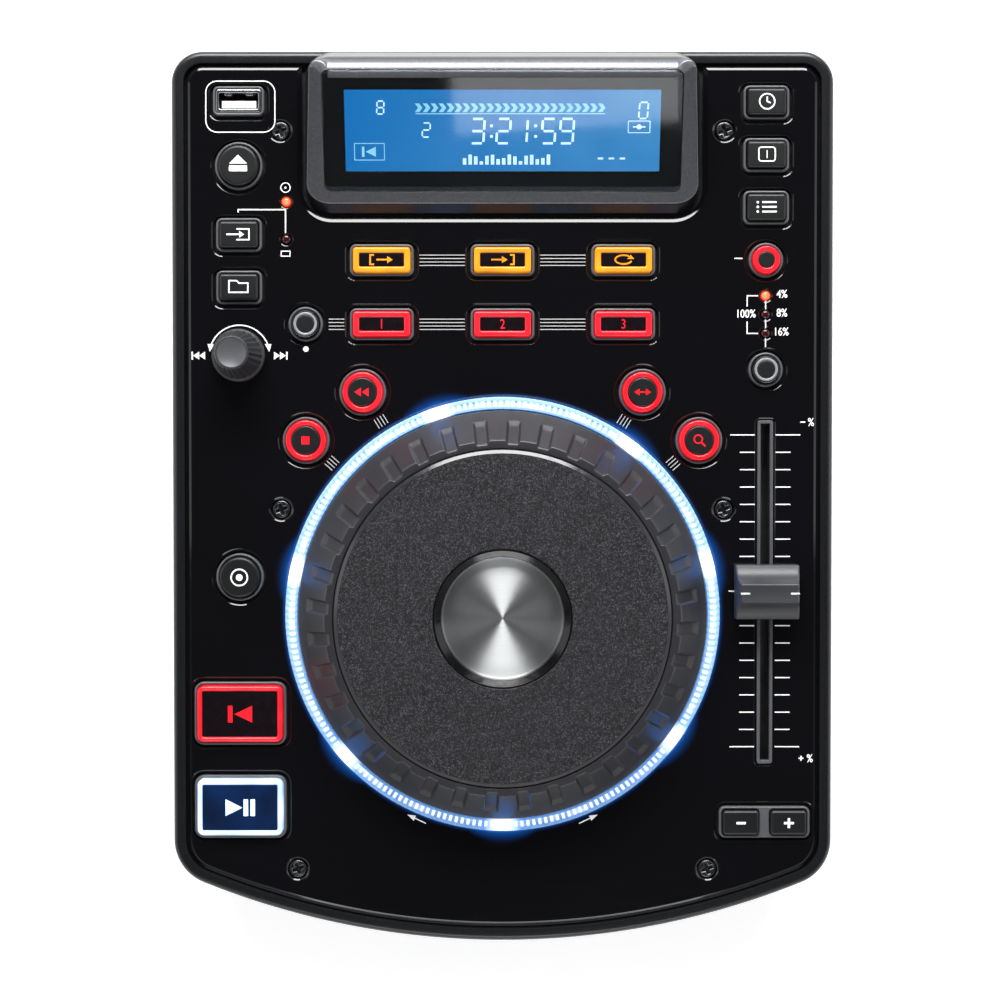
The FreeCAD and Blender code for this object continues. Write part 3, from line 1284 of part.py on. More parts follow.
def power_rocker():
    """A shallow V of a rocker on its pivot pins, at rest with its lower half pressed in."""
    y, z = rocker_axis_y(), SOCKET_HEIGHT_Z
    reach = ROCKER_HEIGHT / 2 - 2 * SOCKET_GAP
    turn = math.radians(ROCKER_LIP_ANGLE)
    lip_y, lip_z = reach * math.sin(turn), reach * math.cos(turn)
    points = [
        (0, y + lip_y, z - lip_z),
        (0, y + lip_y - ROCKER_HOLLOW, z),
        (0, y + lip_y, z + lip_z),
        (0, y - ROCKER_HOLLOW, z + lip_z * 0.8),
        (0, y - lip_y + ROCKER_HOLLOW, z),
        (0, y - ROCKER_HOLLOW, z - lip_z * 0.8),
    ]
    width = ROCKER_WIDTH - 4 * SOCKET_GAP
    body = prism(wire_from_points(points), Vector(width, 0, 0))
    body.translate(Vector(ROCKER_PLACE - width / 2, 0, 0))
    body.rotate(Vector(0, y, z), Vector(1, 0, 0), -ROCKER_ANGLE)
    length = ROCKER_WIDTH + SWITCH_WALL - 2 * SOCKET_GAP
    end = Vector(ROCKER_PLACE - length / 2, y, z)
    pins = Part.makeCylinder(ROCKER_PIVOT_RADIUS, length, end, Vector(1, 0, 0))
    return body.fuse(pins)


def build():
    parts = {
        "bottom_housing": bottom_housing(),
        "top_housing": top_housing(),
        "face_plate": face_plate(),
        "display_hood": display_hood(),
        "display_window": display_window(),
        "lcd_module": lcd_module(),
        "slot_bezel": slot_bezel(),
        "light_ring": light_ring(),
        "jog_bearing": jog_bearing(),
        "rear_panel": rear_panel(),
        "line_sockets": [line_sockets(), remote_jack()],
        "usb_b_socket": usb_b_socket(),
        "mains_inlet": mains_inlet(),
        "rocker_frame": rocker_frame(),
        "usb_a_socket": usb_a_socket(),
        "housing_screws": housing_screws(),
        "rubber_feet": rubber_feet(),
        "control_board": control_board(),
        "main_board": main_board(),
        "power_board": power_board(),
        "indicator_leds": indicator_leds(),
        "fader_body": fader_body(),
        "encoder_body": encoder_body(),
        "drive_chassis": drive_chassis(),
        "jog_platter": jog_platter(),
        "jog_touch_disc": jog_touch_disc(),
        "jog_cap": jog_cap(),
        "jog_shaft": jog_shaft(),
        "fader_cap": fader_cap(),
        "fader_lever": fader_lever(),
        "track_knob": track_knob(),
        "encoder_rotor": encoder_rotor(),
        "power_rocker": power_rocker(),
        "turntable": turntable(),
        "laser_sled": laser_sled(),
        "loading_roller": loading_roller(),
    }
    for key in KEYS:
        parts[key.name] = on_panel(key_shape(key))
    return parts


os.makedirs("parts", exist_ok=True)
for name, shape in build().items():
    solid = Part.makeCompound(shape) if isinstance(shape, list) else shape
    solid.exportStep(os.path.join("parts", name + ".step"))
    box = solid.BoundBox
    sizes = [round(value, 2) for value in (box.XLength, box.YLength, box.ZMin, box.ZMax)]
    print(name, len(solid.Solids), solid.isValid(), *sizes)
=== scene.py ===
import bpy
import bmesh
import math
from mathutils import Matrix, Vector
from mathutils.geometry import delaunay_2d_cdt


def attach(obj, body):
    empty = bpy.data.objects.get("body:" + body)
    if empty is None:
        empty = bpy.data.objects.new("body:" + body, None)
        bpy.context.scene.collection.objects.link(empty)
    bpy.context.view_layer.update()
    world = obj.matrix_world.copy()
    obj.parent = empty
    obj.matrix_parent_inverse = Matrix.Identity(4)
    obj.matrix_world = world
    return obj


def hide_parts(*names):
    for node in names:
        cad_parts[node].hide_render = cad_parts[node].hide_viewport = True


# Tabletop disc player: the looks of its housing, face plate, keys, jog wheel, fader, knob and display.
# Lengths in the shapes are in millimetres and become metres when a piece is made.
# Places on the face plate are given as u to the right, v up the slope and w out of the plate.

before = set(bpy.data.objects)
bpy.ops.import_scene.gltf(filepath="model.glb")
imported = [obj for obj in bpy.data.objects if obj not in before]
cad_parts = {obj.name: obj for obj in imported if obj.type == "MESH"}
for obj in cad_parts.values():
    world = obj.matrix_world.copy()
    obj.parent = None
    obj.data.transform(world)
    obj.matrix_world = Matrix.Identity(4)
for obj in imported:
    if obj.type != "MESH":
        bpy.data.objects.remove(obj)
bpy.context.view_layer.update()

MM = 0.001
PANEL_TILT = 4
HOOD_TILT = 18
HOOD_FRONT = (94.0, 3.5)
PANEL = Matrix.Translation((0, -0.558 * MM, 70 * MM)) @ Matrix.Rotation(math.radians(PANEL_TILT), 4, "X")
HOOD_EDGE = Matrix.Translation((0, HOOD_FRONT[0] * MM, HOOD_FRONT[1] * MM))
HOOD_FACE = PANEL @ HOOD_EDGE @ Matrix.Rotation(math.radians(HOOD_TILT), 4, "X")
# The middle of the window, up the hood's face from its lower edge
FACE_MIDDLE = 22.2

# Body and what stands on it
HALF_WIDTH = 105.6
REAR = 142.4
COLUMN = 84.0
JOG_V = -37.1
JOG_WHEEL = PANEL @ Matrix.Translation((0, JOG_V * MM, 0))
FADER_V = -29.7
SLOT_V = -30.2
KNOB_V = 45.5
USB_V = 126.4

# Heights along w
DECK_LOW = -4.5
DECK_TOP = -2.0
COLLAR_TOP = 0.7
KEY_FOOT = -5.6
PRINT_HEIGHT = 0.02

# Openings, and how far one stands from the next
KEY_GAP = 0.25
COLLAR_WIDTH = 1.1
COLLAR_TO_PLATE = 2.0
RING_HOLE = 69.5
SHAFT_HOLE = 9.1
KNOB_HOLE = 4.3
LAMP_HOLE = 1.6
SCREW_HOLE = 3.3
PLATE_INSET = 4.6
SLOT = (3.0, 108.0)
USB_OPENING = (14.6, 7.6)


# Outlines, all closed and anticlockwise


def circle(x, y, radius, count=48):
    turns = [2 * math.pi * index / count for index in range(count)]
    return [(x + radius * math.cos(t), y + radius * math.sin(t)) for t in turns]


def arc(x, y, radius, start, end, count):
    turns = [math.radians(start + (end - start) * index / count) for index in range(count + 1)]
    return [(x + radius * math.cos(t), y + radius * math.sin(t)) for t in turns]


def rounded(x, y, width, height, corner, count=6):
    """A rectangle with rounded corners."""
    half_w, half_h = width / 2 - corner, height / 2 - corner
    loop = []
    for index, (side, end) in enumerate(((1, 1), (-1, 1), (-1, -1), (1, -1))):
        loop += arc(x + side * half_w, y + end * half_h, corner, index * 90, index * 90 + 90, count)
    return loop


def body_loop(inset):
    """The housing's plan: straight sides and rear, and a nose on one large arc."""
    front_corner, rear_corner, nose = 15.0, 10.0, 257.0
    front_x = HALF_WIDTH - front_corner
    drop = math.sqrt((nose - front_corner) ** 2 - front_x**2)
    nose_y = -REAR + nose
    turn = math.degrees(math.atan2(front_x, drop))
    rear_x, rear_y = HALF_WIDTH - rear_corner, REAR - rear_corner
    loop = arc(rear_x, rear_y, rear_corner - inset, 0, 90, 12)
    loop += arc(-rear_x, rear_y, rear_corner - inset, 90, 180, 12)
    loop += arc(-front_x, nose_y - drop, front_corner - inset, 180, 270 - turn, 12)
    loop += arc(0, nose_y, nose - inset, 270 - turn, 270 + turn, 60)[1:-1]
    loop += arc(front_x, nose_y - drop, front_corner - inset, 270 + turn, 360, 12)
    return loop


def moved_out(loop, distance):
    """The loop drawn outward by a distance, each point along its corner's bisector."""
    result = []
    count = len(loop)
    for index, point in enumerate(loop):
        before, after = Vector(loop[index - 1]), Vector(loop[(index + 1) % count])
        here = Vector(point)
        first, second = here - before, after - here
        if first.length < 1e-9:
            first = second
        if second.length < 1e-9:
            second = first
        first.normalize()
        second.normalize()
        normal = Vector((first.y + second.y, -first.x - second.x))
        normal.normalize()
        lean = max(0.35, normal.dot(Vector((first.y, -first.x))))
        result.append(tuple(here + normal * (distance / lean)))
    return result


def inside(point, loop):
    """Whether a point lies inside a loop."""
    x, y = point
    odd = False
    for index, (x1, y1) in enumerate(loop):
        x2, y2 = loop[index - 1]
        if (y1 > y) != (y2 > y) and x < (x2 - x1) * (y - y1) / (y2 - y1) + x1:
            odd = not odd
    return odd


def at(loop, w):
    return [(x, y, w) for x, y in loop]


class Form:
    """A shape under construction: its points, its faces and the finish of each face."""

    def __init__(self):
        self.points = []
        self.faces = []
        self.finishes = []

    def put(self, points, faces, finish=0):
        start = len(self.points)
        self.points += [tuple(point) for point in points]
        self.faces += [[start + index for index in face] for face in faces]
        self.finishes += [finish] * len(faces)

    def loft(self, loops, finish=0):
        """A skin over closed loops that all have the same number of points."""
        count = len(loops[0])
        points = [point for loop in loops for point in loop]
        faces = []
        for row in range(len(loops) - 1):
            for index in range(count):
                following = (index + 1) % count
                low, high = row * count, (row + 1) * count
                faces.append((low + index, low + following, high + following, high + index))
        self.put(points, faces, finish)

    def fill(self, outer, holes, height, finish=0):
        """A flat face inside a loop and outside its holes. The height is a number or a function."""
        coords, edges = [], []
        for loop in [outer] + holes:
            start = len(coords)
            coords += [Vector(point) for point in loop]
            edges += [(start + i, start + (i + 1) % len(loop)) for i in range(len(loop))]
        made = delaunay_2d_cdt(coords, edges, [], 0, 1e-7)
        kept = []
        for face in made[2]:
            middle = sum((made[0][index] for index in face), Vector((0, 0))) / len(face)
            if inside(middle, outer) and not any(inside(middle, hole) for hole in holes):
                kept.append(face)
        tall = height if callable(height) else lambda x, y: height
        self.put([(p.x, p.y, tall(p.x, p.y)) for p in made[0]], kept, finish)

    def slab(self, outer, holes, low, high, edge, finish=0, steps=3, facets=None):
        """A plate whose upper edges are rounded, or cut in facets of an inset and a depth each."""
        rows = [(0.0, low)]
        for step in range(steps + 1):
            turn = math.pi / 2 * step / steps
            rows.append((edge * (1 - math.cos(turn)), high - edge + edge * math.sin(turn)))
        hole_rows = rows
        if facets:
            rows = [(0.0, low)] + [(drawn, high - depth) for drawn, depth in facets[0]]
            hole_rows = [(0.0, low)] + [(drawn, high - depth) for drawn, depth in facets[1]]
        self.loft([at(moved_out(outer, -drawn), w) for drawn, w in rows], finish)
        for hole in holes:
            self.loft([at(moved_out(hole, drawn), w) for drawn, w in hole_rows], finish)
        grown = [moved_out(hole, hole_rows[-1][0]) for hole in holes]
        self.fill(moved_out(outer, -rows[-1][0]), grown, high, finish)

    def lathe(self, x, y, profile, count=96, finish=0):
        """A turned form about an axis along w, from points (radius, w)."""
        self.loft([at(circle(x, y, max(radius, 1e-4), count), w) for radius, w in profile], finish)

    def stroke(self, points, width, w=PRINT_HEIGHT, finish=0, closed=False):
        """A printed line of one width along a path."""
        count = len(points)
        left, right = [], []
        for index, point in enumerate(points):
            here = Vector(point)
            before = Vector(points[index - 1]) if index or closed else None
            after = Vector(points[(index + 1) % count]) if index < count - 1 or closed else None
            first = (here - before).normalized() if before is not None else (after - here).normalized()
            second = (after - here).normalized() if after is not None else first
            normal = Vector((-first.y - second.y, first.x + second.x)).normalized()
            lean = max(0.4, normal.dot(Vector((-first.y, first.x))))
            left.append((*(here + normal * width / 2 / lean), w))
            right.append((*(here - normal * width / 2 / lean), w))
        faces = []
        for index in range(count if closed else count - 1):
            following = (index + 1) % count
            faces.append((index, following, count + following, count + index))
        self.put(left + right, faces, finish)

    def patch(self, loop, w=PRINT_HEIGHT, finish=0):
        self.put(at(loop, w), [list(range(len(loop)))], finish)

    def numeral(self, text, x, y, height, w=PRINT_HEIGHT, finish=0, narrow=0.82, heavy=0.0):
        """Plain figures, centred on a point."""
        curve = bpy.data.curves.new("figures", "FONT")
        curve.body = text
        curve.size = 1
        curve.offset = heavy
        holder = bpy.data.objects.new("figures", curve)
        bpy.context.scene.collection.objects.link(holder)
        bpy.context.view_layer.update()
        drawn = holder.evaluated_get(bpy.context.evaluated_depsgraph_get())
        mesh = bpy.data.meshes.new_from_object(drawn)
        xs = [vertex.co.x for vertex in mesh.vertices]
        ys = [vertex.co.y for vertex in mesh.vertices]
        scale = height / (max(ys) - min(ys))
        mid_x, mid_y = (max(xs) + min(xs)) / 2, (max(ys) + min(ys)) / 2
        points = []
        for vertex in mesh.vertices:
            across, along = vertex.co.x - mid_x, vertex.co.y - mid_y
            points.append((x + across * scale * narrow, y + along * scale, w))
        self.put(points, [list(face.vertices) for face in mesh.polygons], finish)
        bpy.data.objects.remove(holder)
        bpy.data.curves.remove(curve)
        bpy.data.meshes.remove(mesh)

    def make(self, name, where, body, finishes, sharp=32.0, weighted=True, level=False):
        """Turns the form into an object that rides on a body. A level object has no tilt of its own."""
        mesh = bpy.data.meshes.new(name)
        mesh.from_pydata([Vector(point) * MM for point in self.points], [], self.faces)
        for finish in finishes:
            mesh.materials.append(finish)
        mesh.polygons.foreach_set("material_index", self.finishes)
        shape = bmesh.new()
        shape.from_mesh(mesh)
        bmesh.ops.remove_doubles(shape, verts=shape.verts, dist=2e-7)
        bmesh.ops.dissolve_degenerate(shape, edges=shape.edges, dist=1e-8)
        bmesh.ops.recalc_face_normals(shape, faces=shape.faces)
        shape.to_mesh(mesh)
        shape.free()
        mesh.shade_smooth()
        mesh.set_sharp_from_angle(angle=math.radians(sharp))
        if level:
            mesh.transform(where)
            where = Matrix.Identity(4)
        piece = bpy.data.objects.new(name, mesh)
        piece.matrix_world = where
        bpy.context.scene.collection.objects.link(piece)
        if weighted:
            even = piece.modifiers.new("even_shading", "WEIGHTED_NORMAL")
            even.keep_sharp = True
        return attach(piece, body)


# Finishes


def colour(code):
    """An sRGB hex colour as linear values."""
    channels = [int(code[index : index + 2], 16) / 255 for index in (1, 3, 5)]
    linear = [c / 12.92 if c <= 0.04045 else ((c + 0.055) / 1.055) ** 2.4 for c in channels]
    return (*linear, 1.0)


def add(tree, kind, inputs=None, **settings):
    """Adds a node, sets it up, and links or fills its inputs."""
    node = tree.nodes.new("ShaderNode" + kind)
    for name, value in settings.items():
        setattr(node, name, value)
    for socket, value in (inputs or {}).items():
        if isinstance(value, bpy.types.NodeSocket):
            tree.links.new(value, node.inputs[socket])
        else:
            node.inputs[socket].default_value = value
    return node


def begin(name):
    material = bpy.data.materials.new(name)
    material.use_nodes = True
    material.node_tree.nodes.clear()
    place = add(material.node_tree, "TexCoord").outputs["Object"]
    return material, material.node_tree, place


def surface(tree, tint, rough, bump=None, extra=None):
    inputs = {"Base Color": tint, "Roughness": rough, **(extra or {})}
    if bump is not None:
        inputs["Normal"] = bump.outputs[0]
    shader = add(tree, "BsdfPrincipled", inputs)
    add(tree, "OutputMaterial", {"Surface": shader.outputs["BSDF"]})


def per_metre(millimetres):
    """The texture scale at which one cell of a pattern is this many millimetres."""
    return 1000.0 / millimetres


def worn(tree, pattern, rough, strength, depth):
    """Uneven gloss and slight relief from one pattern. Rough is a least and a most, depth is in mm."""
    limits = {"From Min": 0.3, "From Max": 0.7, "To Min": rough[0], "To Max": rough[1]}
    gloss = add(tree, "MapRange", {"Value": pattern, **limits})
    bump = add(tree, "Bump", {"Height": pattern, "Strength": strength, "Distance": depth * MM})
    return gloss.outputs[0], bump


def shade(tint, share):
    """A linear colour made darker or lighter by a share."""
    return tuple(min(1.0, c * share) for c in tint[:3]) + (1.0,)


def grained(name, base, rough, grain, depth, vary=0.12, specular=0.5):
    """A surface with a fine grain of one size, uneven gloss and slightly uneven colour."""
    material, tree, place = begin(name)
    size = per_metre(grain)
    fine = add(tree, "TexNoise", {"Vector": place, "Scale": size, "Detail": 3.0, "Roughness": 0.6})
    cloud = add(tree, "TexNoise", {"Vector": place, "Scale": per_metre(14.0), "Detail": 4.0})
    both = add(tree, "Math", {0: fine.outputs["Fac"], 1: cloud.outputs["Fac"]}, operation="MULTIPLY")
    share = add(tree, "MapRange", {"Value": both.outputs[0], "From Min": 0.12, "From Max": 0.4})
    ends = {6: shade(colour(base), 1 - vary), 7: shade(colour(base), 1 + vary)}
    mix = add(tree, "Mix", {0: share.outputs[0], **ends}, data_type="RGBA")
    gloss, bump = worn(tree, fine.outputs["Fac"], (rough - 0.05, rough + 0.07), 0.35, depth)
    surface(tree, mix.outputs[2], gloss, bump, {"Specular IOR Level": specular})
    return material


def housing_abs():
    """ABS moulded against a spark-eroded tool: a dark satin with a fine even grain."""
    return grained("housing_abs_spark_eroded", "#202124", 0.42, 0.35, 0.03, 0.1)


def rim_abs():
    """The same ABS on the rim, polished a little by hands, so it takes a sharper highlight; its colour is
    painted darker than the housing's, as painted shade.
    """
    return grained("rim_abs_handled_painted_shade", "#141518", 0.3, 0.3, 0.006, 0.08)


def collar_abs():
    """Satin ABS collars round the keys, greyer where their moulded edge is rounded."""
    return grained("collar_abs_satin", "#55565a", 0.36, 0.3, 0.01, 0.1)


def plate_acrylic():
    """Black acrylic, cast and polished: near black, with a clear hard gloss, faint wipe marks and a blue
    halo painted in round the jog ring.
    """
    material, tree, place = begin("face_plate_acrylic_polished")
    laid = {"Rotation": (0.0, 0.0, 0.4), "Scale": (1.0, 14.0, 1.0)}
    wipe = add(tree, "Mapping", {"Vector": place, **laid})
    marks = add(tree, "TexNoise", {"Vector": wipe.outputs[0], "Scale": per_metre(30.0), "Detail": 6.0})
    limits = {"From Min": 0.35, "From Max": 0.7, "To Min": 0.05, "To Max": 0.13}
    gloss = add(tree, "MapRange", {"Value": marks.outputs["Fac"], **limits})
    cloud = add(tree, "TexNoise", {"Vector": place, "Scale": per_metre(60.0), "Detail": 2.0})
    ends = {6: colour("#09090a"), 7: colour("#0d0c11")}
    tint = add(tree, "Mix", {0: cloud.outputs["Fac"], **ends}, data_type="RGBA")
    ripple = add(tree, "TexNoise", {"Vector": place, "Scale": per_metre(18.0), "Detail": 1.0})
    bump = add(tree, "Bump", {"Height": ripple.outputs["Fac"], "Strength": 0.05, "Distance": 0.05 * MM})
    # Painted light: the blue halo round the ring is painted into the plate as emission, fading over a few
    # millimetres from the ring's edge and strongest beside its lamps.
    radius = distance_from(tree, place, (0.0, JOG_V * MM, 0.0))
    near = near_lamps(tree, place, (0.0, JOG_V * MM), 9.0)
    reach = add(tree, "MapRange", {"Value": near, "To Min": 71.4 * MM, "To Max": 74.6 * MM})
    painted_halo_falloff = add(tree, "MapRange", {"Value": radius, "From Min": reach.outputs[0], "From Max": 69.4 * MM})
    soft = add(tree, "Math", {0: painted_halo_falloff.outputs[0], 1: 2.4}, operation="POWER")
    level = add(tree, "MapRange", {"Value": near, "To Min": 0.35, "To Max": 0.7})
    glow = add(tree, "Math", {0: soft.outputs[0], 1: level.outputs[0]}, operation="MULTIPLY")
    lit = {"Emission Color": colour("#0f6fe0"), "Emission Strength": glow.outputs[0]}
    surface(tree, tint.outputs[2], gloss.outputs[0], bump, lit)
    return material


def hood_paint():
    """Hood of ABS sprayed with a grey metallic: small bright flakes in a satin coat."""
    material, tree, place = begin("hood_paint_metallic")
    flakes = add(tree, "TexVoronoi", {"Vector": place, "Scale": per_metre(0.3)})
    glint = add(tree, "SeparateColor", {"Color": flakes.outputs["Color"]})
    ends = {6: colour("#5d5e62"), 7: colour("#707176")}
    mix = add(tree, "Mix", {0: glint.outputs[0], **ends}, data_type="RGBA")
    gloss = add(tree, "MapRange", {"Value": glint.outputs[1], "To Min": 0.3, "To Max": 0.46})
    bump = add(tree, "Bump", {"Height": glint.outputs[2], "Strength": 0.05, "Distance": 0.01 * MM})
    surface(tree, mix.outputs[2], gloss.outputs[0], bump, {"Metallic": 0.75})
    return material


def gloss_black(name, base="#08080a", rough=0.08):
    """Moulded ABS with a polished black face, which mirrors the lamps softly."""
    return grained(name, base, rough + 0.05, 2.0, 0.002, 0.1)


def key_rubberised():
    """Keys moulded in ABS with a soft-touch lacquer: dark grey with a dull bloom."""
    return grained("key_abs_soft_lacquer", "#121315", 0.4, 0.25, 0.008, 0.12)


def key_lamp(name, deep, lit, strength, hot=0.35):
    """Translucent polycarbonate lit from below: brighter where the lamp sits under it."""
    material, tree, place = begin(name)
    near = add(tree, "TexNoise", {"Vector": place, "Scale": per_metre(9.0), "Detail": 1.0})
    mix = add(tree, "Mix", {0: near.outputs["Fac"], 6: colour(deep), 7: colour(lit)}, data_type="RGBA")
    limits = {"From Min": 0.35, "From Max": 0.65, "To Min": strength * (1 - hot), "To Max": strength}
    power = add(tree, "MapRange", {"Value": near.outputs["Fac"], **limits})
    frost = add(tree, "TexNoise", {"Vector": place, "Scale": per_metre(0.3), "Detail": 2.0})
    bump = add(tree, "Bump", {"Height": frost.outputs["Fac"], "Strength": 0.15, "Distance": 0.02 * MM})
    glow = {"Emission Color": mix.outputs[2], "Emission Strength": power.outputs[0]}
    surface(tree, mix.outputs[2], 0.28, bump, glow)
    return material


def screen_ink(name, base, bright=0.0):
    """Pad-printed ink: a thin matt film with pin-prick unevenness, and a painted glow of a given strength
    added as emission.
    """
    material, tree, place = begin(name)
    film = add(tree, "TexNoise", {"Vector": place, "Scale": per_metre(0.25), "Detail": 2.0})
    ends = {6: shade(colour(base), 0.9), 7: colour(base)}
    mix = add(tree, "Mix", {0: film.outputs["Fac"], **ends}, data_type="RGBA")
    bump = add(tree, "Bump", {"Height": film.outputs["Fac"], "Strength": 0.2, "Distance": 0.01 * MM})
    # Painted glow: emission in the ink's own colour makes the print brighter than the lamps alone would.
    glow = {"Emission Color": mix.outputs[2], "Emission Strength": bright}
    surface(tree, mix.outputs[2], 0.45, bump, glow)
    return material


def platter_abs():
    """Jog wheel moulded in ABS with a leathery grain for grip."""
    return grained("jog_abs_grained", "#2b2b2f", 0.38, 0.45, 0.015, 0.1)


def disc_flock():
    """Top of the jog wheel: textured vinyl with pale specks against a dark base; their paleness is partly
    their own tone, partly a painted glint.
    """
    material, tree, place = begin("jog_disc_vinyl_flecked")
    # Real specks are about 0.1 mm; they are drawn at 0.28 mm so that they show in the render.
    specks = add(tree, "TexVoronoi", {"Vector": place, "Scale": per_metre(0.28)})
    pick = add(tree, "SeparateColor", {"Color": specks.outputs["Color"]})
    # The specks are made pale in the base colour, partly as their tone and partly as painted glint.
    limits = {"From Min": 0.62, "From Max": 1.0, "To Max": 0.8}
    bright = add(tree, "MapRange", {"Value": pick.outputs[0], **limits})
    ends = {6: colour("#151418"), 7: colour("#5a595f")}
    mix = add(tree, "Mix", {0: bright.outputs[0], **ends}, data_type="RGBA")
    rough = {"Detail": 3.0, "Roughness": 0.7}
    grit = add(tree, "TexNoise", {"Vector": place, "Scale": per_metre(0.45), **rough})
    bump = add(tree, "Bump", {"Height": grit.outputs["Fac"], "Strength": 0.5, "Distance": 0.05 * MM})
    gloss = add(tree, "MapRange", {"Value": pick.outputs[1], "To Min": 0.35, "To Max": 0.6})
    surface(tree, mix.outputs[2], gloss.outputs[0], bump)
    return material


def spun_aluminium():
    """Aluminium dish turned on a lathe: ring-shaped tool marks stretch each highlight into a wedge."""
    material, tree, place = begin("cap_aluminium_spun")
    # Tool marks are 0.1 mm apart on the real dish; 0.3 mm here, so that they show.
    rings = add(tree, "CombineXYZ", {0: distance_from(tree, place, (0.0, 0.0, 0.0))})
    marks = add(tree, "TexNoise", {"Vector": rings.outputs[0], "Scale": per_metre(0.3), "Detail": 3.0})
    gloss, bump = worn(tree, marks.outputs["Fac"], (0.4, 0.5), 0.12, 0.01)
    ends = {6: colour("#b0b2b4"), 7: colour("#dcdedf")}
    mix = add(tree, "Mix", {0: marks.outputs["Fac"], **ends}, data_type="RGBA")
    tangent = add(tree, "Tangent", direction_type="RADIAL", axis="Z")
    turned = {"Anisotropic": 0.92, "Anisotropic Rotation": 0.25, "Tangent": tangent.outputs[0]}
    surface(tree, mix.outputs[2], gloss, bump, {"Metallic": 1.0, **turned})
    return material


# Where the lamps of the light ring stand, in degrees round the wheel
RING_LAMPS = (168, 108, 53, 14, -36, -90, 222)


def distance_from(tree, place, point):
    """How far each point of a surface lies from an axis along w."""
    gap = add(tree, "VectorMath", {0: place, 1: point}, operation="SUBTRACT")
    flat = add(tree, "VectorMath", {0: gap.outputs[0], 1: (1.0, 1.0, 0.0)}, operation="MULTIPLY")
    return add(tree, "VectorMath", {0: flat.outputs[0]}, operation="LENGTH").outputs["Value"]


def near_lamps(tree, place, axis, reach):
    """How near each point of a surface lies to a lamp of the light ring, from 0 to 1."""
    gap = add(tree, "VectorMath", {0: place, 1: (*axis, 0.0)}, operation="SUBTRACT")
    flat = add(tree, "VectorMath", {0: gap.outputs[0], 1: (1.0, 1.0, 0.0)}, operation="MULTIPLY")
    way = add(tree, "VectorMath", {0: flat.outputs[0]}, operation="NORMALIZE")
    limits = {"From Min": math.cos(math.radians(reach)), "From Max": 0.9998}
    nearest = 0.0
    for degrees in RING_LAMPS:
        turn = math.radians(degrees)
        toward = (math.cos(turn), math.sin(turn), 0.0)
        cosine = add(tree, "VectorMath", {0: way.outputs[0], 1: toward}, operation="DOT_PRODUCT")
        share = add(tree, "MapRange", {"Value": cosine.outputs["Value"], **limits})
        nearest = add(tree, "Math", {0: share.outputs[0], 1: nearest}, operation="MAXIMUM").outputs[0]
    return nearest


def ring_acrylic():
    """Prismatic acrylic light guide: white bars with blue between them, brightest over its lamps."""
    material, tree, place = begin("ring_acrylic_prismatic")
    flat = add(tree, "SeparateXYZ", {"Vector": place})
    turn = add(tree, "Math", {0: flat.outputs[1], 1: flat.outputs[0]}, operation="ARCTAN2")
    # 220 prisms stand round the ring, 1.9 mm apart.
    phase = add(tree, "Math", {0: turn.outputs[0], 1: 220.0}, operation="MULTIPLY")
    wave = add(tree, "Math", {0: phase.outputs[0]}, operation="SINE")
    radius = distance_from(tree, place, (0.0, 0.0, 0.0))
    off = add(tree, "Math", {0: radius, 1: 67.25 * MM}, operation="SUBTRACT")
    off = add(tree, "Math", {0: off.outputs[0]}, operation="ABSOLUTE")
    row = add(tree, "MapRange", {"Value": off.outputs[0], "From Min": 1.1 * MM, "From Max": 0.75 * MM})
    uneven = add(tree, "TexNoise", {"Vector": place, "Scale": per_metre(6.0), "Detail": 4.0})
    full = add(tree, "MapRange", {"Value": uneven.outputs["Fac"], "From Min": 0.45, "From Max": 0.75})
    bars = add(tree, "MapRange", {"Value": wave.outputs[0], "From Min": -0.35, "From Max": 0.25})
    light = add(tree, "Math", {0: bars.outputs[0], 1: full.outputs[0]}, operation="MAXIMUM")
    light = add(tree, "Math", {0: light.outputs[0], 1: row.outputs[0]}, operation="MULTIPLY")
    near = near_lamps(tree, place, (0.0, 0.0), 5.0)
    light = add(tree, "Math", {0: light.outputs[0], 1: near}, operation="MAXIMUM").outputs[0]
    mix = add(tree, "Mix", {0: light, 6: colour("#0f6fd0"), 7: colour("#f4faff")}, data_type="RGBA")
    power = add(tree, "MapRange", {"Value": light, "To Min": 0.6, "To Max": 1.1})
    bump = add(tree, "Bump", {"Height": wave.outputs[0], "Strength": 0.3, "Distance": 0.2 * MM})
    glow = {"Emission Color": mix.outputs[2], "Emission Strength": power.outputs[0]}
    surface(tree, colour("#a9c9e4"), 0.12, bump, glow)
    return material


def window_acrylic():
    """Cast clear acrylic, thin enough that its tint hardly shows, with a faint uneven haze."""
    material, tree, place = begin("window_acrylic_clear")
    haze = add(tree, "TexNoise", {"Vector": place, "Scale": per_metre(12.0), "Detail": 3.0})
    gloss = add(tree, "MapRange", {"Value": haze.outputs["Fac"], "To Min": 0.02, "To Max": 0.05})
    surface(tree, colour("#e4ecf2"), gloss.outputs[0], None, {"IOR": 1.49, "Transmission Weight": 1.0})
    return material


def lcd_glass():
    """Backlit liquid crystal: an even blue that pales towards its right end."""
    material, tree, place = begin("lcd_backlit_blue")
    flat = add(tree, "SeparateXYZ", {"Vector": place})
    side = add(tree, "MapRange", {"Value": flat.outputs[0], "From Min": -50 * MM, "From Max": 50 * MM})
    cloud = add(tree, "TexNoise", {"Vector": place, "Scale": per_metre(22.0), "Detail": 2.0})
    share = add(tree, "Math", {0: side.outputs[0], 1: cloud.outputs["Fac"]}, operation="MULTIPLY")
    cells = add(tree, "TexNoise", {"Vector": place, "Scale": per_metre(0.4)})
    ends = {6: colour("#1580cc"), 7: colour("#5fb0e4")}
    mix = add(tree, "Mix", {0: share.outputs[0], **ends}, data_type="RGBA")
    bump = add(tree, "Bump", {"Height": cells.outputs["Fac"], "Strength": 0.05, "Distance": 0.01 * MM})
    glow = {"Emission Color": mix.outputs[2], "Emission Strength": 0.95}
    surface(tree, colour("#0b2c48"), 0.2, bump, glow)
    return material


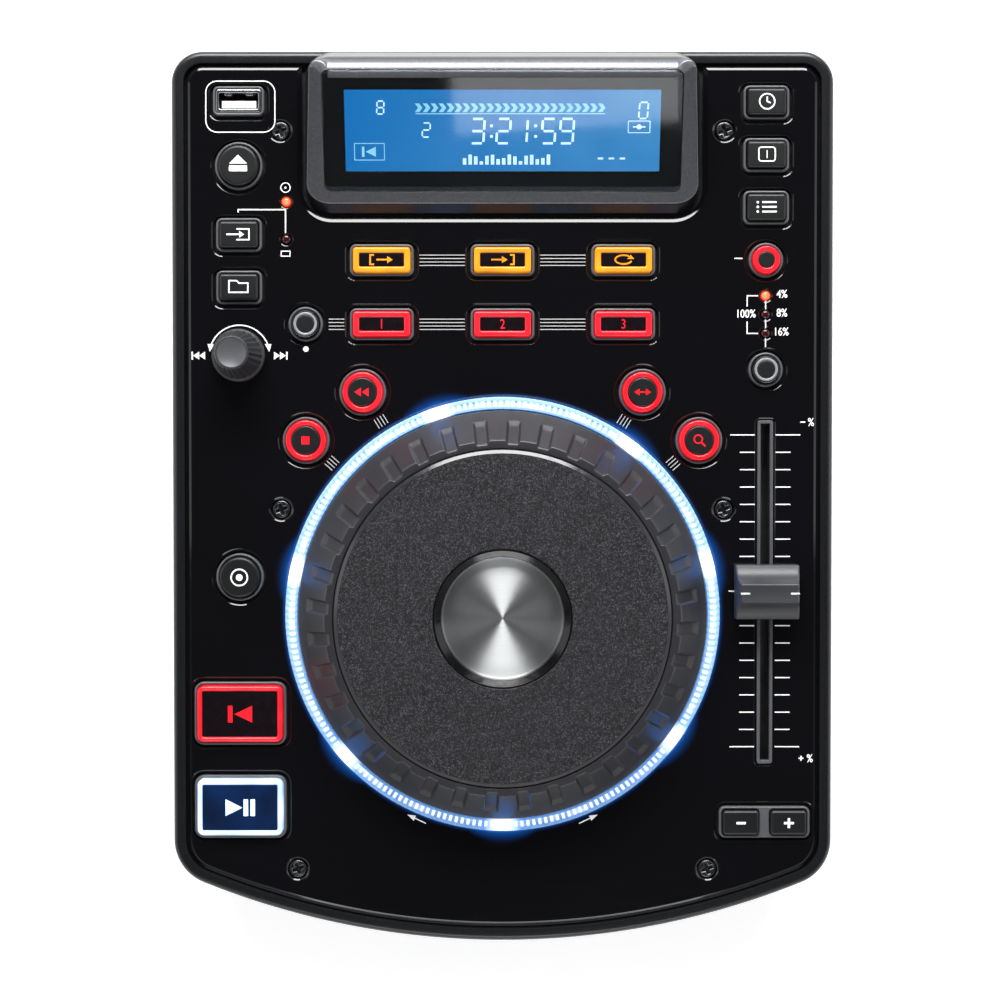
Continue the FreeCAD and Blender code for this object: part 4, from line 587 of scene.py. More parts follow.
def metal(name, base, rough, grain=0.25, stretch=(1.0, 1.0, 1.0)):
    """Metal with fine machining or rolling marks along one direction."""
    material, tree, place = begin(name)
    laid = add(tree, "Mapping", {"Vector": place, "Scale": stretch})
    marks = add(tree, "TexNoise", {"Vector": laid.outputs[0], "Scale": per_metre(grain), "Detail": 3.0})
    ends = {6: shade(colour(base), 0.8), 7: colour(base)}
    mix = add(tree, "Mix", {0: marks.outputs["Fac"], **ends}, data_type="RGBA")
    gloss, bump = worn(tree, marks.outputs["Fac"], (rough - 0.05, rough + 0.08), 0.25, 0.01)
    surface(tree, mix.outputs[2], gloss, bump, {"Metallic": 1.0})
    return material


def lamp_lens(name, deep, lit, strength):
    """Cast epoxy lens, paler where it faces the viewer: the chip's own light on a lit lamp, a painted
    highlight and a faint painted glow on a dark one.
    """
    material, tree, place = begin(name)
    facing = add(tree, "LayerWeight", {"Blend": 0.78})
    ends = {6: colour(lit), 7: colour(deep)}
    mix = add(tree, "Mix", {0: facing.outputs["Facing"], **ends}, data_type="RGBA")
    swirl = add(tree, "TexNoise", {"Vector": place, "Scale": per_metre(0.8)})
    bump = add(tree, "Bump", {"Height": swirl.outputs["Fac"], "Strength": 0.1, "Distance": 0.02 * MM})
    glow = {"Emission Color": mix.outputs[2], "Emission Strength": strength}
    surface(tree, mix.outputs[2], 0.12, bump, glow)
    return material


# Both inks carry a painted glow.
INK_WHITE = screen_ink("ink_white_painted_glow", "#f2f2f0", 0.35)
INK_GREY = screen_ink("ink_grey_painted_glow", "#b8b8b6", 0.15)
RIM = rim_abs()
HOUSING = housing_abs()
COLLAR = collar_abs()
PLATE = plate_acrylic()
KEY = key_rubberised()
PLATTER = platter_abs()
DECK = gloss_black("deck_abs_black", "#0a0a0b", 0.35)
INSET = gloss_black("key_window_black", "#120b10", 0.16)
AMBER = key_lamp("key_polycarbonate_amber", "#d97a10", "#f09a20", 0.7)
RED = key_lamp("key_polycarbonate_red", "#d00c1a", "#f4202f", 0.75)
WHITE_LIT = key_lamp("key_polycarbonate_blue_white", "#8ebdf0", "#e2f1ff", 1.0)
BLUE_WINDOW = key_lamp("key_window_blue", "#020a1c", "#06224c", 0.6)
STEEL = metal("steel_nickel_plated", "#b8babd", 0.22)
SCREW_STEEL = metal("screw_steel_blackened", "#606165", 0.3)
RING_GREY = gloss_black("key_ring_grey", "#8f9094", 0.2)


# Kinds of key: width, height or none for a round one, corner radius, rise above the plate
SMALL = (12.4, 8.5, 1.0, 2.2)
LONG = (18.2, 7.9, 1.0, 2.2)
PAD = (27.2, 18.0, 2.0, 2.6)
BEND = (11.6, 7.9, 1.0, 2.2)
BEND_PAIR = (26.9, 7.9, 1.0, 2.2)
RED_DISC = (12.8, None, 0, 2.2)
DOT = (8.8, None, 0, 2.2)
ROUND = (13.0, None, 0, 2.2)

# Dark windows in lit keys: width, height, and the rounding of the frame round them
WINDOWS = {LONG: (14.3, 4.4, 0.55), PAD: (24.0, 14.6, 0.8)}
WINDOW_SINK = 0.25

ARC_RADIUS = 83.8
ARC_PLACES = {"reverse": -32.2, "brake": -48.5, "scratch": 32.2, "search": 48.5}
ROW_U = 38.5
LOOP_V = 75.9
HOT_CUE_V = 55.5
BEND_V = -104.0
BEND_HALF_PITCH = 7.65


def on_arc(degrees, radius=ARC_RADIUS):
    """A place round the jog wheel, with its angle from straight up."""
    turn = math.radians(degrees)
    return radius * math.sin(turn), JOG_V + radius * math.cos(turn)


# Each key's place on the plate and its kind
KEYS = {
    "eject": (-COLUMN, 105.8, ROUND),
    "source": (-COLUMN, 83.9, SMALL),
    "folder": (-COLUMN, 67.2, SMALL),
    "tap": (-COLUMN, -25.3, ROUND),
    "cue": (-COLUMN, -69.0, PAD),
    "play": (-COLUMN, -99.0, PAD),
    "record": (-62.8, HOT_CUE_V, DOT),
    "loop_in": (-ROW_U, LOOP_V, LONG),
    "loop_out": (0.0, LOOP_V, LONG),
    "reloop": (ROW_U, LOOP_V, LONG),
    "hot_cue_1": (-ROW_U, HOT_CUE_V, LONG),
    "hot_cue_2": (0.0, HOT_CUE_V, LONG),
    "hot_cue_3": (ROW_U, HOT_CUE_V, LONG),
    **{name: (*on_arc(degrees), RED_DISC) for name, degrees in ARC_PLACES.items()},
    "time": (COLUMN, 126.0, SMALL),
    "single": (COLUMN, 109.3, SMALL),
    "program": (COLUMN, 92.6, SMALL),
    "master_tempo": (COLUMN, 75.9, DOT),
    "pitch_range": (COLUMN, 41.0, DOT),
    "bend_down": (COLUMN - BEND_HALF_PITCH, BEND_V, BEND),
    "bend_up": (COLUMN + BEND_HALF_PITCH, BEND_V, BEND),
}
SCREWS = [(side * u, v) for u, v in ((70.8, 117.2), (70.8, -3.6), (65.8, -119.3)) for side in (-1, 1)]
# Each lamp's place, and whether it is lit
LAMPS = [(-69.0, 94.5, 1), (-69.0, 82.6, 0), (COLUMN, 64.6, 1), (COLUMN, 58.6, 0), (COLUMN, 52.6, 0)]


def key_outline(place, grow):
    u, v, (width, height, corner, _) = place
    if height is None:
        return circle(u, v, width / 2 + grow, 64)
    return rounded(u, v, width + 2 * grow, height + 2 * grow, corner + grow * 0.9)


def collar_places():
    """Each key's own collar, and the one that the bend keys share."""
    places = [place for name, place in KEYS.items() if not name.startswith("bend")]
    return places + [(COLUMN, BEND_V, BEND_PAIR)]


def make_top_housing():
    """Rim, deck and collars of the upper shell."""
    form = Form()
    foot = -16.0
    rows = [(0.0, foot), (0.0, -1.5)]
    for step in range(1, 7):
        turn = math.pi / 2 * step / 6
        rows.append((2.1 * (1 - math.cos(turn)), -1.3 + 2.1 * math.sin(turn)))
    rows += [(3.7, 0.8), (4.0, 0.68), (4.1, 0.4), (4.1, -2.2)]
    form.loft([at(body_loop(inset), w) for inset, w in rows], 0)
    form.loft([at(body_loop(inset), w) for inset, w in ((0.0, foot), (2.5, foot), (2.5, DECK_LOW))], 0)
    holes = [key_outline(place, KEY_GAP) for place in KEYS.values()]
    holes += [circle(spot[0], spot[1], LAMP_HOLE, 16) for spot in SCREWS + LAMPS]
    holes += [circle(0, JOG_V, SHAFT_HOLE), circle(-COLUMN, KNOB_V, KNOB_HOLE, 32)]
    holes += [rounded(COLUMN, SLOT_V, *SLOT, 0.3), rounded(-COLUMN, USB_V, *USB_OPENING, 0.6)]
    form.slab(body_loop(4.0), holes, DECK_LOW, DECK_TOP, 0.05, 1, 1)
    for place in collar_places():
        inner = [key_outline(place, KEY_GAP)]
        if place[2] == BEND_PAIR:
            inner = [key_outline(KEYS[name], KEY_GAP) for name in ("bend_down", "bend_up")]
        form.slab(key_outline(place, COLLAR_WIDTH), inner, DECK_TOP, COLLAR_TOP, 0.4, 2)
    frame_loop = rounded(COLUMN, SLOT_V, SLOT[0] + 2, SLOT[1] + 2, 0.8)
    form.slab(frame_loop, [rounded(COLUMN, SLOT_V, *SLOT, 0.3)], DECK_TOP, 0.45, 0.2, 2)
    usb = [rounded(-COLUMN, USB_V, *USB_OPENING, 0.9)]
    form.slab(rounded(-COLUMN, USB_V, 16.3, 9.3, 1.8), usb, DECK_TOP, 0.9, 0.4, 2)
    piece = form.make("upper_shell", PANEL, "player", [RIM, DECK, COLLAR], level=True)
    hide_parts("top_housing")


def make_face_plate():
    """The black plate. Facets along its edge and its holes catch the rear lamp as thin white lines."""
    form = Form()
    holes = [key_outline(place, COLLAR_TO_PLATE) for place in collar_places()]
    holes += [circle(u, v, SCREW_HOLE, 32) for u, v in SCREWS]
    holes += [circle(u, v, LAMP_HOLE, 24) for u, v, lit in LAMPS]
    holes += [circle(0, JOG_V, RING_HOLE, 240), circle(-COLUMN, KNOB_V, KNOB_HOLE, 32)]
    holes += [rounded(COLUMN, SLOT_V, SLOT[0] + 2.4, SLOT[1] + 2.4, 1.0)]
    holes += [rounded(-COLUMN, USB_V, 18.1, 11.1, 2.6)]
    outer_facets = [(0.0, 0.6), (1.3, 0.06), (1.5, 0.0)]
    hole_facets = [(0.0, 0.48), (0.34, 0.2), (0.68, 0.03), (0.8, 0.0)]
    outline = body_loop(PLATE_INSET)
    # The hood stands in a notch of the plate's rear edge, after the first corner's 13 points.
    half, corner, low, rear = 64.0, 9.6, 89.5, REAR - PLATE_INSET
    notch = [(half, rear)] + arc(half - corner, low + corner, corner, 0, -90, 12)
    notch += arc(corner - half, low + corner, corner, -90, -180, 12) + [(-half, rear)]
    outline[13:13] = notch
    form.slab(outline, holes, DECK_TOP, 0.0, 0, facets=(outer_facets, hole_facets))
    piece = form.make("face_plate_gloss", PANEL, "player", [PLATE], sharp=6)
    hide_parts("face_plate")


# Plain signs on the keys, drawn round each key's middle


def solid(points):
    return points, None, False


def line(points, width=0.5):
    return points, width, False


def ring(points, width=0.45):
    return points, width, True


def head(x, reach, half=1.1):
    """An arrow's head that points along u."""
    return solid([(x, half), (x, -half), (x + reach, 0)])


BRACKET = [(-2.4, 1.5), (-3.6, 1.5), (-3.6, -1.5), (-2.4, -1.5)]
FOLDER = [(-3.0, -1.7), (3.0, -1.7), (3.0, 1.2), (0.2, 1.2), (-0.6, 2.0), (-3.0, 2.0)]
DOOR = [(-0.6, 1.7), (3.4, 1.7), (3.4, -1.7), (-0.6, -1.7)]
SIGNS = {
    "eject": [solid([(-2.9, 0.5), (2.9, 0.5), (0, 3.3)]), solid(rounded(0, -1.0, 5.8, 1.9, 0.3, 2))],
    "play": [head(-4.6, 5.4, 2.7)] + [solid(rounded(x, 0, 1.5, 5.4, 0.15, 2)) for x in (1.9, 4.1)],
    "cue": [head(4.0, -5.6, 2.7), solid(rounded(-3.0, 0, 1.5, 5.4, 0.15, 2))],
    "tap": [ring(circle(0, 0, 2.6, 32), 0.5), solid(circle(0, 0, 1.1, 24))],
    "source": [line(DOOR, 0.45), line([(-3.8, 0), (0.6, 0)]), head(0.3, 1.6)],
    "folder": [ring(FOLDER)],
    "time": [ring(circle(0, 0, 2.4, 32)), line([(0, 1.5), (0, 0), (1.1, -0.5)], 0.45)],
    "single": [ring(rounded(0, 0, 5.2, 4.4, 0.8, 4), 0.4)],
    "program": [solid(rounded(0.8, y, 4.6, 0.55, 0.1, 2)) for y in (-1.5, 0.0, 1.5)]
    + [solid(circle(-2.9, y, 0.4, 12)) for y in (-1.5, 0.0, 1.5)],
    "loop_in": [line(BRACKET), line([(-1.6, 0), (2.4, 0)]), head(1.8, 1.8)],
    "loop_out": [line([(-x, y) for x, y in BRACKET]), line([(-3.6, 0), (0.4, 0)]), head(-0.2, 1.8)],
    "reloop": [
        line([(x * 1.9, y) for x, y in arc(0, 0, 1.4, 50, 340, 24)]),
        solid([(1.2, 0.2), (3.4, 0.2), (2.3, 1.5)]),
    ],
    "reverse": [solid([(x, 1.4), (x - 2.1, 0), (x, -1.4)]) for x in (-0.4, 2.0)],
    "brake": [solid(rounded(0, 0, 2.6, 2.6, 0.2, 2))],
    "scratch": [line([(-1.2, 0), (1.2, 0)], 0.45), head(1.0, 1.7), head(-1.0, -1.7)],
    "search": [ring(circle(-0.4, 0.4, 1.3, 24)), line([(0.5, -0.5), (1.9, -1.9)], 0.6)],
    "bend_down": [solid(rounded(0, 0, 3.0, 0.8, 0.1, 2))],
    "bend_up": [solid(rounded(0, 0, 3.2, 0.8, 0.1, 2)), solid(rounded(0, 0, 0.8, 3.2, 0.1, 2))],
}
FIGURES = {"single": ("1", 2.5), **{f"hot_cue_{index}": (str(index), 3.0) for index in (1, 2, 3)}}


def sign(form, name, u, v, w, ink):
    """Puts a key's sign or figure on its cap."""
    for points, width, closed in SIGNS.get(name, []):
        moved = [(u + x, v + y) for x, y in points]
        if width is None:
            form.patch(moved, w, ink)
        else:
            form.stroke(moved, width, w, ink, closed)
    if name in FIGURES:
        text, height = FIGURES[name]
        form.numeral(text, u, v, height, w, ink)


def make_key(name, place):
    """A key's cap: a lit frame round a dark window, a lit ring round a disc, or plain."""
    u, v, kind = place
    rise = kind[3]
    outline = key_outline(place, 0)
    form = Form()
    if kind in WINDOWS:
        width, height, edge = WINDOWS[kind]
        window = rounded(u, v, width, height, 0.5)
        form.slab(outline, [window], KEY_FOOT, rise, edge)
        form.slab(moved_out(window, -0.02), [], KEY_FOOT, rise - WINDOW_SINK, 0.12, 1, 2)
        sign(form, name, u, v, rise - WINDOW_SINK + PRINT_HEIGHT, 2)
        lamp = AMBER if "loop" in name else RED
        finishes = [WHITE_LIT, BLUE_WINDOW, WHITE_LIT] if name == "play" else [lamp, INSET, lamp]
    elif kind is RED_DISC:
        form.slab(outline, [circle(u, v, 4.75, 48)], KEY_FOOT, rise, 0.5)
        form.slab(circle(u, v, 4.65, 48), [], KEY_FOOT, rise + 0.1, 0.5, 1)
        sign(form, name, u, v, rise + 0.1 + PRINT_HEIGHT, 2)
        finishes = [RED, KEY, RED]
    elif kind is DOT:
        # The red key is all lens round its dot; the grey ones have a dark edge outside their ring.
        red = name == "master_tempo"
        lens, core = (4.4, 2.65) if red else (3.85, 2.85)
        if not red:
            form.slab(outline, [circle(u, v, lens, 48)], KEY_FOOT, rise, 0.4, 1)
        form.slab(circle(u, v, lens - 0.02, 48), [circle(u, v, core, 48)], KEY_FOOT, rise, 0.4)
        form.slab(circle(u, v, core - 0.02, 48), [], KEY_FOOT, rise - 0.1, 0.3, 1)
        finishes = [RED if red else RING_GREY, KEY]
    else:
        form.slab(outline, [], KEY_FOOT, rise, 0.95, 0, 4)
        sign(form, name, u, v, rise + PRINT_HEIGHT, 1)
        finishes = [KEY, INK_WHITE]
    piece = form.make(name + "_cap", PANEL, name + "_key", finishes)
    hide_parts(name + "_button")


def four_lines(form, start, end):
    """Four thin grey lines side by side, 1.1 mm apart."""
    start, end = Vector(start), Vector(end)
    along = (end - start).normalized()
    for row in range(4):
        shift = Vector((-along.y, along.x)) * (1.65 - 1.1 * row)
        form.stroke([tuple(start + shift), tuple(end + shift)], 0.26, finish=1)


def make_prints():
    """White lines, arrows and figures printed on the plate."""
    form = Form()
    form.stroke(rounded(-COLUMN + 0.5, USB_V - 1.7, 22.0, 16.2, 3.6, 8), 0.34, closed=True)
    # The bracket from the source key to its two lamps
    form.stroke([(-84.3, 91.1), (-84.3, 92.0), (-69.2, 92.0), (-69.2, 84.6)], 0.4)
    # Lines between neighbouring keys, and from each red key towards the light ring
    for v in (LOOP_V, HOT_CUE_V):
        for start, end in ((-26.5, -12.0), (12.0, 26.5)):
            four_lines(form, (start, v), (end, v))
    four_lines(form, (-55.5, HOT_CUE_V), (-50.5, HOT_CUE_V))
    for degrees in ARC_PLACES.values():
        four_lines(form, on_arc(degrees, 74.5), on_arc(degrees, 71.2))
    # Track knob: an arc with an arrow at each end, and skip signs beside it
    form.stroke(arc(-COLUMN, KNOB_V, 9.7, 22, 158, 32), 0.42)
    for side in (-1, 1):
        x, y = -COLUMN + side * 9.15, KNOB_V + 3.4
        form.patch([(x - 1.05, y + 0.3), (x + 1.05, y + 0.3), (x + side * 0.35, y - 2.2)])
        for step in (0.0, 1.9):
            x = -COLUMN + side * (11.0 + step)
            form.patch([(x, KNOB_V + 1.25), (x, KNOB_V - 1.25), (x + side * 1.9, KNOB_V)])
        form.patch(rounded(-COLUMN + side * 15.1, KNOB_V, 0.5, 2.5, 0.05, 2))
    # Master tempo's dash, then the lines and figures of the pitch ranges
    form.stroke([(74.0, 76.5), (76.6, 76.5)], 0.35)
    form.stroke([(81.6, 64.6), (78.1, 64.6), (78.1, 61.2)], 0.35)
    form.stroke([(81.6, 52.6), (78.1, 52.6), (78.1, 56.4)], 0.35)
    for low, high in ((63.0, 60.3), (57.0, 54.3), (51.0, 48.3)):
        form.stroke([(COLUMN, low), (COLUMN, high)], 0.35)
    figures = (("4%", 89.2, 65.2), ("8%", 89.2, 59.2), ("16%", 89.2, 53.2), ("100%", 77.9, 58.9))
    for text, u, v in figures + (("%", 98.6, 24.3), ("%", 98.6, -83.5)):
        form.numeral(text, u, v, 2.6, heavy=0.012)
    # Pitch scale, its middle mark, and the signs at its ends
    for index in range(19):
        v = 20.2 - index * 5.555
        outer = 11.2 if index in (0, 18) else 8.1
        for side in (-1, 1):
            form.stroke([(COLUMN + side * 3.3, v), (COLUMN + side * outer, v)], 0.34)
    form.stroke([(72.4, -29.8), (74.2, -29.8)], 0.34)
    form.patch(rounded(96.0, 24.3, 1.6, 0.4, 0.05, 2))
    form.patch(rounded(95.8, -83.5, 1.6, 0.4, 0.05, 2))
    form.patch(rounded(95.8, -83.5, 0.4, 1.6, 0.05, 2))
    # Direction arrows below the wheel
    for side in (-1, 1):
        tail, tip = Vector((side * 24.6, -104.5)), Vector((side * 28.6, -102.6))
        along = (tip - tail).normalized()
        across = Vector((-along.y, along.x)) * 0.9
        back = tip - along * 0.5
        form.stroke([tuple(tail), tuple(tip)], 0.36)
        form.patch([tuple(back + across), tuple(back - across), tuple(tip + along * 2.2)])
    # Small signs for the record key and for the two source lamps
    form.patch(circle(-62.8, 47.6, 0.9, 24))
    form.stroke(circle(-69.2, 99.0, 1.5, 24), 0.3, closed=True)
    form.patch(circle(-69.2, 99.0, 0.35, 12))
    form.stroke([(-70.6, 78.8), (-67.8, 78.8), (-67.8, 77.2), (-70.6, 77.2)], 0.3, closed=True)
    piece = form.make("plate_print", PANEL, "player", [INK_WHITE, INK_GREY], weighted=False)


def hood_point(x, y, z=0.0):
    """A point of the hood's sloping face, given in the face plate's frame."""
    turn = math.radians(HOOD_TILT)
    across, up = math.cos(turn), math.sin(turn)
    return x, HOOD_FRONT[0] + y * across - z * up, HOOD_FRONT[1] + y * up + z * across


def crest(v):
    """The height that the hood never passes; it is level when the player stands on its feet."""
    return 25.28 - 0.07 * v


def hood_height(v):
    """The height of the hood's sloping face."""
    slope = math.tan(math.radians(HOOD_TILT))
    return min(HOOD_FRONT[1] + (v - HOOD_FRONT[0]) * slope, crest(v))


def make_hood():
    """Drafted walls that roll over into a sloping face with the window's seat."""
    form = Form()
    slope = math.tan(math.radians(HOOD_TILT))
    foot = rounded(0, 116.4, 125.6, 51.0, 8.5, 12)
    count, per_corner, steps = len(foot), 13, 7
    skins = [at(foot, DECK_TOP), at(foot, 0.0)]
    skins += [[] for _ in range(steps + 1)]
    for index, (x, y) in enumerate(foot):
        turn = math.radians(index * 4 // count * 90 + (index % per_corner) * 7.5)
        out = Vector((math.cos(turn), math.sin(turn)))
        front, rear = max(0.0, -out.y) ** 2, max(0.0, out.y) ** 2
        # How far the wall leans in per millimetre of height, and the radius it rolls over with
        draft = 0.164 * (1 - front - rear) + 0.886 * front + 0.34 * rear
        roll = 0.8 + 5.2 * rear
        rise = slope * out.y
        middle_w = 3.0
        # The roll's middle depends on its own height, so it is found in a few rounds.
        for _ in range(6):
            centre = Vector((x, y)) - out * (draft * max(middle_w, 0.2) + roll)
            face_w = HOOD_FRONT[1] + (centre.y - HOOD_FRONT[0]) * slope
            middle_w = face_w - roll * math.sqrt(1 + rise * rise)
        for step in range(steps + 1):
            swing = (math.pi / 2 + math.atan(rise)) * step / steps
            spot = centre + out * roll * math.cos(swing)
            tall = min(middle_w + roll * math.sin(swing), crest(spot.y))
            skins[2 + step].append((spot.x, spot.y, max(tall, 0.3)))
    # The walls and the front slope take the dark rim finish: partly the hood's own black sides, partly
    # painted shade on a front slope turned away from the light.
    form.loft(skins[:6], 1)
    form.loft(skins[5:], 0)
    top = [(x, y) for x, y, w in skins[-1]]
    seat = rounded(0, FACE_MIDDLE, 112.8, 38.4, 2.5, 6)
    flat = [hood_point(x, y)[:2] for x, y in seat]
    form.fill(top, [flat], lambda x, y: hood_height(y), 0)
    depths = [(0.0, 0.0), (0.0, -0.5), (0.0, -1.9), (1.5, -1.9), (1.5, -3.4)]
    walls = [[hood_point(x, y, z) for x, y in moved_out(seat, -inset)] for inset, z in depths]
    walls[0] = [(x, y, hood_height(y)) for x, y, w in walls[0]]
    form.loft(walls, 0)
    piece = form.make("hood_shell", PANEL, "player", [hood_paint(), RIM], sharp=40, level=True)
    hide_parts("display_hood")


def make_window():
    """The clear pane in the hood's seat."""
    form = Form()
    pane, back = rounded(0, FACE_MIDDLE, 112.6, 38.2, 2.4), -1.75
    form.slab(pane, [], back, -0.3, 0.25)
    form.fill(pane, [], back)
    piece = form.make("window_acrylic", HOOD_FACE, "player", [window_acrylic()], level=True)
    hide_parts("display_window")


LCD_MIDDLE = 22.1
# The bars that each figure lights, named as in a seven-bar display
SEGMENTS = {"0": "abcdef", "1": "bc", "2": "abged", "3": "abgcd", "5": "afgcd", "8": "abcdefg"}
SEGMENTS.update({"9": "abcdfg", "-": "g"})


def lcd_digit(form, text, x, y, height, w, thick=0.5):
    """One figure made of bars, as a liquid crystal draws it."""
    half, wide, lean = height / 2, height * 0.27, 0.06
    bars = {
        "a": ((-wide, half), (wide, half)),
        "b": ((wide, half), (wide, 0)),
        "c": ((wide, 0), (wide, -half)),
        "d": ((-wide, -half), (wide, -half)),
        "e": ((-wide, 0), (-wide, -half)),
        "f": ((-wide, half), (-wide, 0)),
        "g": ((-wide, 0), (wide, 0)),
    }
    gap = thick * 0.62
    for name in SEGMENTS[text]:
        start, end = (Vector(point) for point in bars[name])
        along = (end - start).normalized()
        ends = (start + along * gap, end - along * gap)
        points = [(x + p.x + p.y * lean, y + p.y) for p in ends]
        form.stroke(points, thick, w, 1)


def lcd_place(across, down):
    """A place on the liquid crystal, from steps right of and below the display's upper left corner."""
    return (across - 157.0) * 0.3152, LCD_MIDDLE + (38.6 - down) * 0.329


def make_lcd():
    """Black mask under the window, the lit crystal in it, and its figures."""
    form = Form()
    crystal, mask, w = -2.3, -1.85, -2.24
    active = rounded(0, LCD_MIDDLE, 99.0, 25.4, 0.2, 2)
    form.slab(rounded(0, FACE_MIDDLE, 112.4, 35.0, 1.0), [active], -6.0, mask, 0.05, 3, 1)
    form.fill(moved_out(active, 0.3), [], crystal, 0)
    # Two counters, the running time, a small nought and three dashes
    digits = [("8", 35.7, 16.8, 4.0, 0.45), ("2", 81.0, 38.0, 4.4, 0.45), ("0", 297.0, 19.5, 5.0, 0.5)]
    times = (("3", 132.0), ("2", 158.0), ("1", 175.0), ("5", 203.0), ("9", 221.0))
    digits += [(text, across, 39.0, 7.6, 0.75) for text, across in times]
    digits += [("-", across, 65.0, 4.6, 0.6) for across in (255.0, 266.0, 277.0)]
    for text, across, down, tall, thick in digits:
        lcd_digit(form, text, *lcd_place(across, down), tall, w, thick)
    for across in (146.0, 190.0):
        for down in (34.0, 44.0):
            form.patch(circle(*lcd_place(across, down), 0.5, 12), w, 1)
    # Progress bar of arrowheads
    arrowhead = [(-1.3, 1.35), (0.1, 1.35), (1.1, 0), (0.1, -1.35), (-1.3, -1.35), (-0.3, 0)]
    for index in range(24):
        x, y = lcd_place(74.0 + index * 7.9, 17.0)
        form.patch([(x + a, y + b) for a, b in arrowhead], w, 2)
    form.stroke([lcd_place(70.5, 22.6), lcd_place(259.0, 22.6)], 0.35, w, 2)
    # Framed signs
    x, y = lcd_place(24.0, 58.6)
    form.stroke(rounded(x, y, 9.4, 5.2, 0.15, 2), 0.28, w, 2, True)
    form.patch([(x + 2.0, y + 1.6), (x - 1.2, y), (x + 2.0, y - 1.6)], w, 2)
    form.patch(rounded(x - 2.0, y, 0.8, 3.2, 0.05, 2), w, 2)
    x, y = lcd_place(293.0, 35.0)
    form.stroke(rounded(x, y, 6.8, 3.6, 0.15, 2), 0.26, w, 1, True)
    form.stroke([(x - 2.0, y), (x + 2.0, y)], 0.4, w, 1)
    form.patch(circle(x, y, 0.8, 16), w, 1)
    # Level bars where a message would stand
    for index in range(16):
        x, y = lcd_place(119.0 + index * 5.6, 66.0)
        tall = 0.9 + 2.3 * abs(math.sin(index * 0.9 + 0.5))
        form.patch(rounded(x, y - 1.6 + tall / 2, 1.1, tall, 0.05, 2), w, 1)
    black = gloss_black("mask_ink_black", "#08080b", 0.3)
    pale = key_lamp("lcd_figures_pale", "#c9ecff", "#eafaff", 1.0, 0.05)
    teal = key_lamp("lcd_bar_teal", "#8fd8e6", "#a8dcf4", 0.8, 0.1)
    finishes = [lcd_glass(), pale, teal, black]
    piece = form.make("lcd_stack", HOOD_FACE, "player", finishes, weighted=False)
    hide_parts("lcd_module")


def make_light_ring():
    """The clear ring round the wheel, with a groove along its top."""
    form = Form()
    profile = [(65.4, -1.9), (65.4, 2.3), (65.6, 2.55), (66.3, 2.6), (66.6, 2.3)]
    profile += [(67.9, 2.3), (68.2, 2.6), (69.0, 2.55), (69.35, 2.2), (69.4, -1.9)]
    form.lathe(0, 0, profile, 360)
    piece = form.make("light_guide_ring", JOG_WHEEL, "player", [ring_acrylic()])
    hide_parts("light_ring")


def turned(rows, count, cut):
    """Loops about w from rows of radius, w and share, each drawn in by share times what cut says."""
    loops = []
    for radius, w, share in rows:
        loop = []
        for index in range(count):
            turn = 2 * math.pi * index / count
            reach = radius - share * cut(turn, radius)
            loop.append((reach * math.cos(turn), reach * math.sin(turn), w))
        loops.append(loop)
    return loops


def notch_depth(turn, radius):
    """The depth of the wheel's finger notches, which stand 10 degrees apart."""
    off = (math.degrees(turn) - 90 + 3.4 + 5) % 10 - 5
    edge = min(1.0, max(0.0, (2.3 - abs(math.radians(off)) * radius) / 0.7))
    return 1.15 * edge * edge * (3 - 2 * edge)


def flute_depth(turn, radius):
    """The depth of the knob's 24 flutes."""
    return 0.38 * (0.5 - 0.5 * math.cos(24 * turn)) ** 0.7


def make_jog_wheel():
    """The wheel with its finger notches round a tapered skirt."""
    form = Form()
    rows = [(63.0, 2.3, 0), (64.6, 2.3, 0), (64.95, 2.6, 0)]
    rows += [(65.0, 3.0, 0), (65.0, 5.0, 0), (64.75, 5.5, 0)]
    for w, share in ((9.3, 0), (9.9, 0.25), (10.5, 0.75), (11.3, 1), (14.5, 1), (17.6, 1)):
        rows.append((65.0 - 9.6 * (w - 5.2) / 13.8, w, share))
    rows += [(55.75, 18.5, 1), (55.45, 18.85, 1), (55.1, 19.0, 1)]
    rows += [(53.3, 19.0, 0), (52.95, 18.85, 0), (52.82, 18.5, 0), (52.82, 17.65, 0), (21.7, 17.65, 0)]
    form.loft(turned(rows, 1080, notch_depth))
    wheel = form.make("jog_wheel_notched", JOG_WHEEL, "jog_wheel", [PLATTER], sharp=45)
    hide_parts("jog_platter")


def make_jog_disc():
    """The flecked top of the wheel, with a smooth lip."""
    form = Form()
    edge = [(51.2, 19.9), (51.35, 19.87), (52.4, 19.31), (52.6, 18.9), (52.68, 18.5), (52.68, 17.7)]
    form.lathe(0, 0, [(21.75, 17.7), (21.75, 19.75), (21.9, 19.9), edge[0]], 240)
    form.lathe(0, 0, edge, 240, 1)
    lip = gloss_black("disc_lip_smooth", "#2b2b2f", 0.12)
    disc = form.make("jog_disc_flecked", JOG_WHEEL, "jog_wheel", [disc_flock(), lip], sharp=10)
    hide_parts("jog_touch_disc")


def make_jog_cap():
    """The spun dish in the wheel's middle, in a black rim."""
    form = Form()
    rim = [(21.6, 17.7), (21.6, 19.75), (21.45, 19.9), (21.2, 19.88), (21.1, 19.72)]
    rim += [(19.35, 18.85), (19.15, 18.5), (18.95, 16.1)]
    form.lathe(0, 0, rim, 180, 1)
    flat = [(radius, 15.9) for radius in (18.4, 15.0, 12.0, 9.0, 6.0, 3.0, 1.0, 0.05)]
    form.lathe(0, 0, [rim[-1]] + flat, 180)
    lacquer = gloss_black("cap_rim_lacquer_black", "#0c0c0e", 0.1)
    cap = form.make("jog_cap_spun", JOG_WHEEL, "jog_wheel", [spun_aluminium(), lacquer], sharp=20)
    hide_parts("jog_cap")


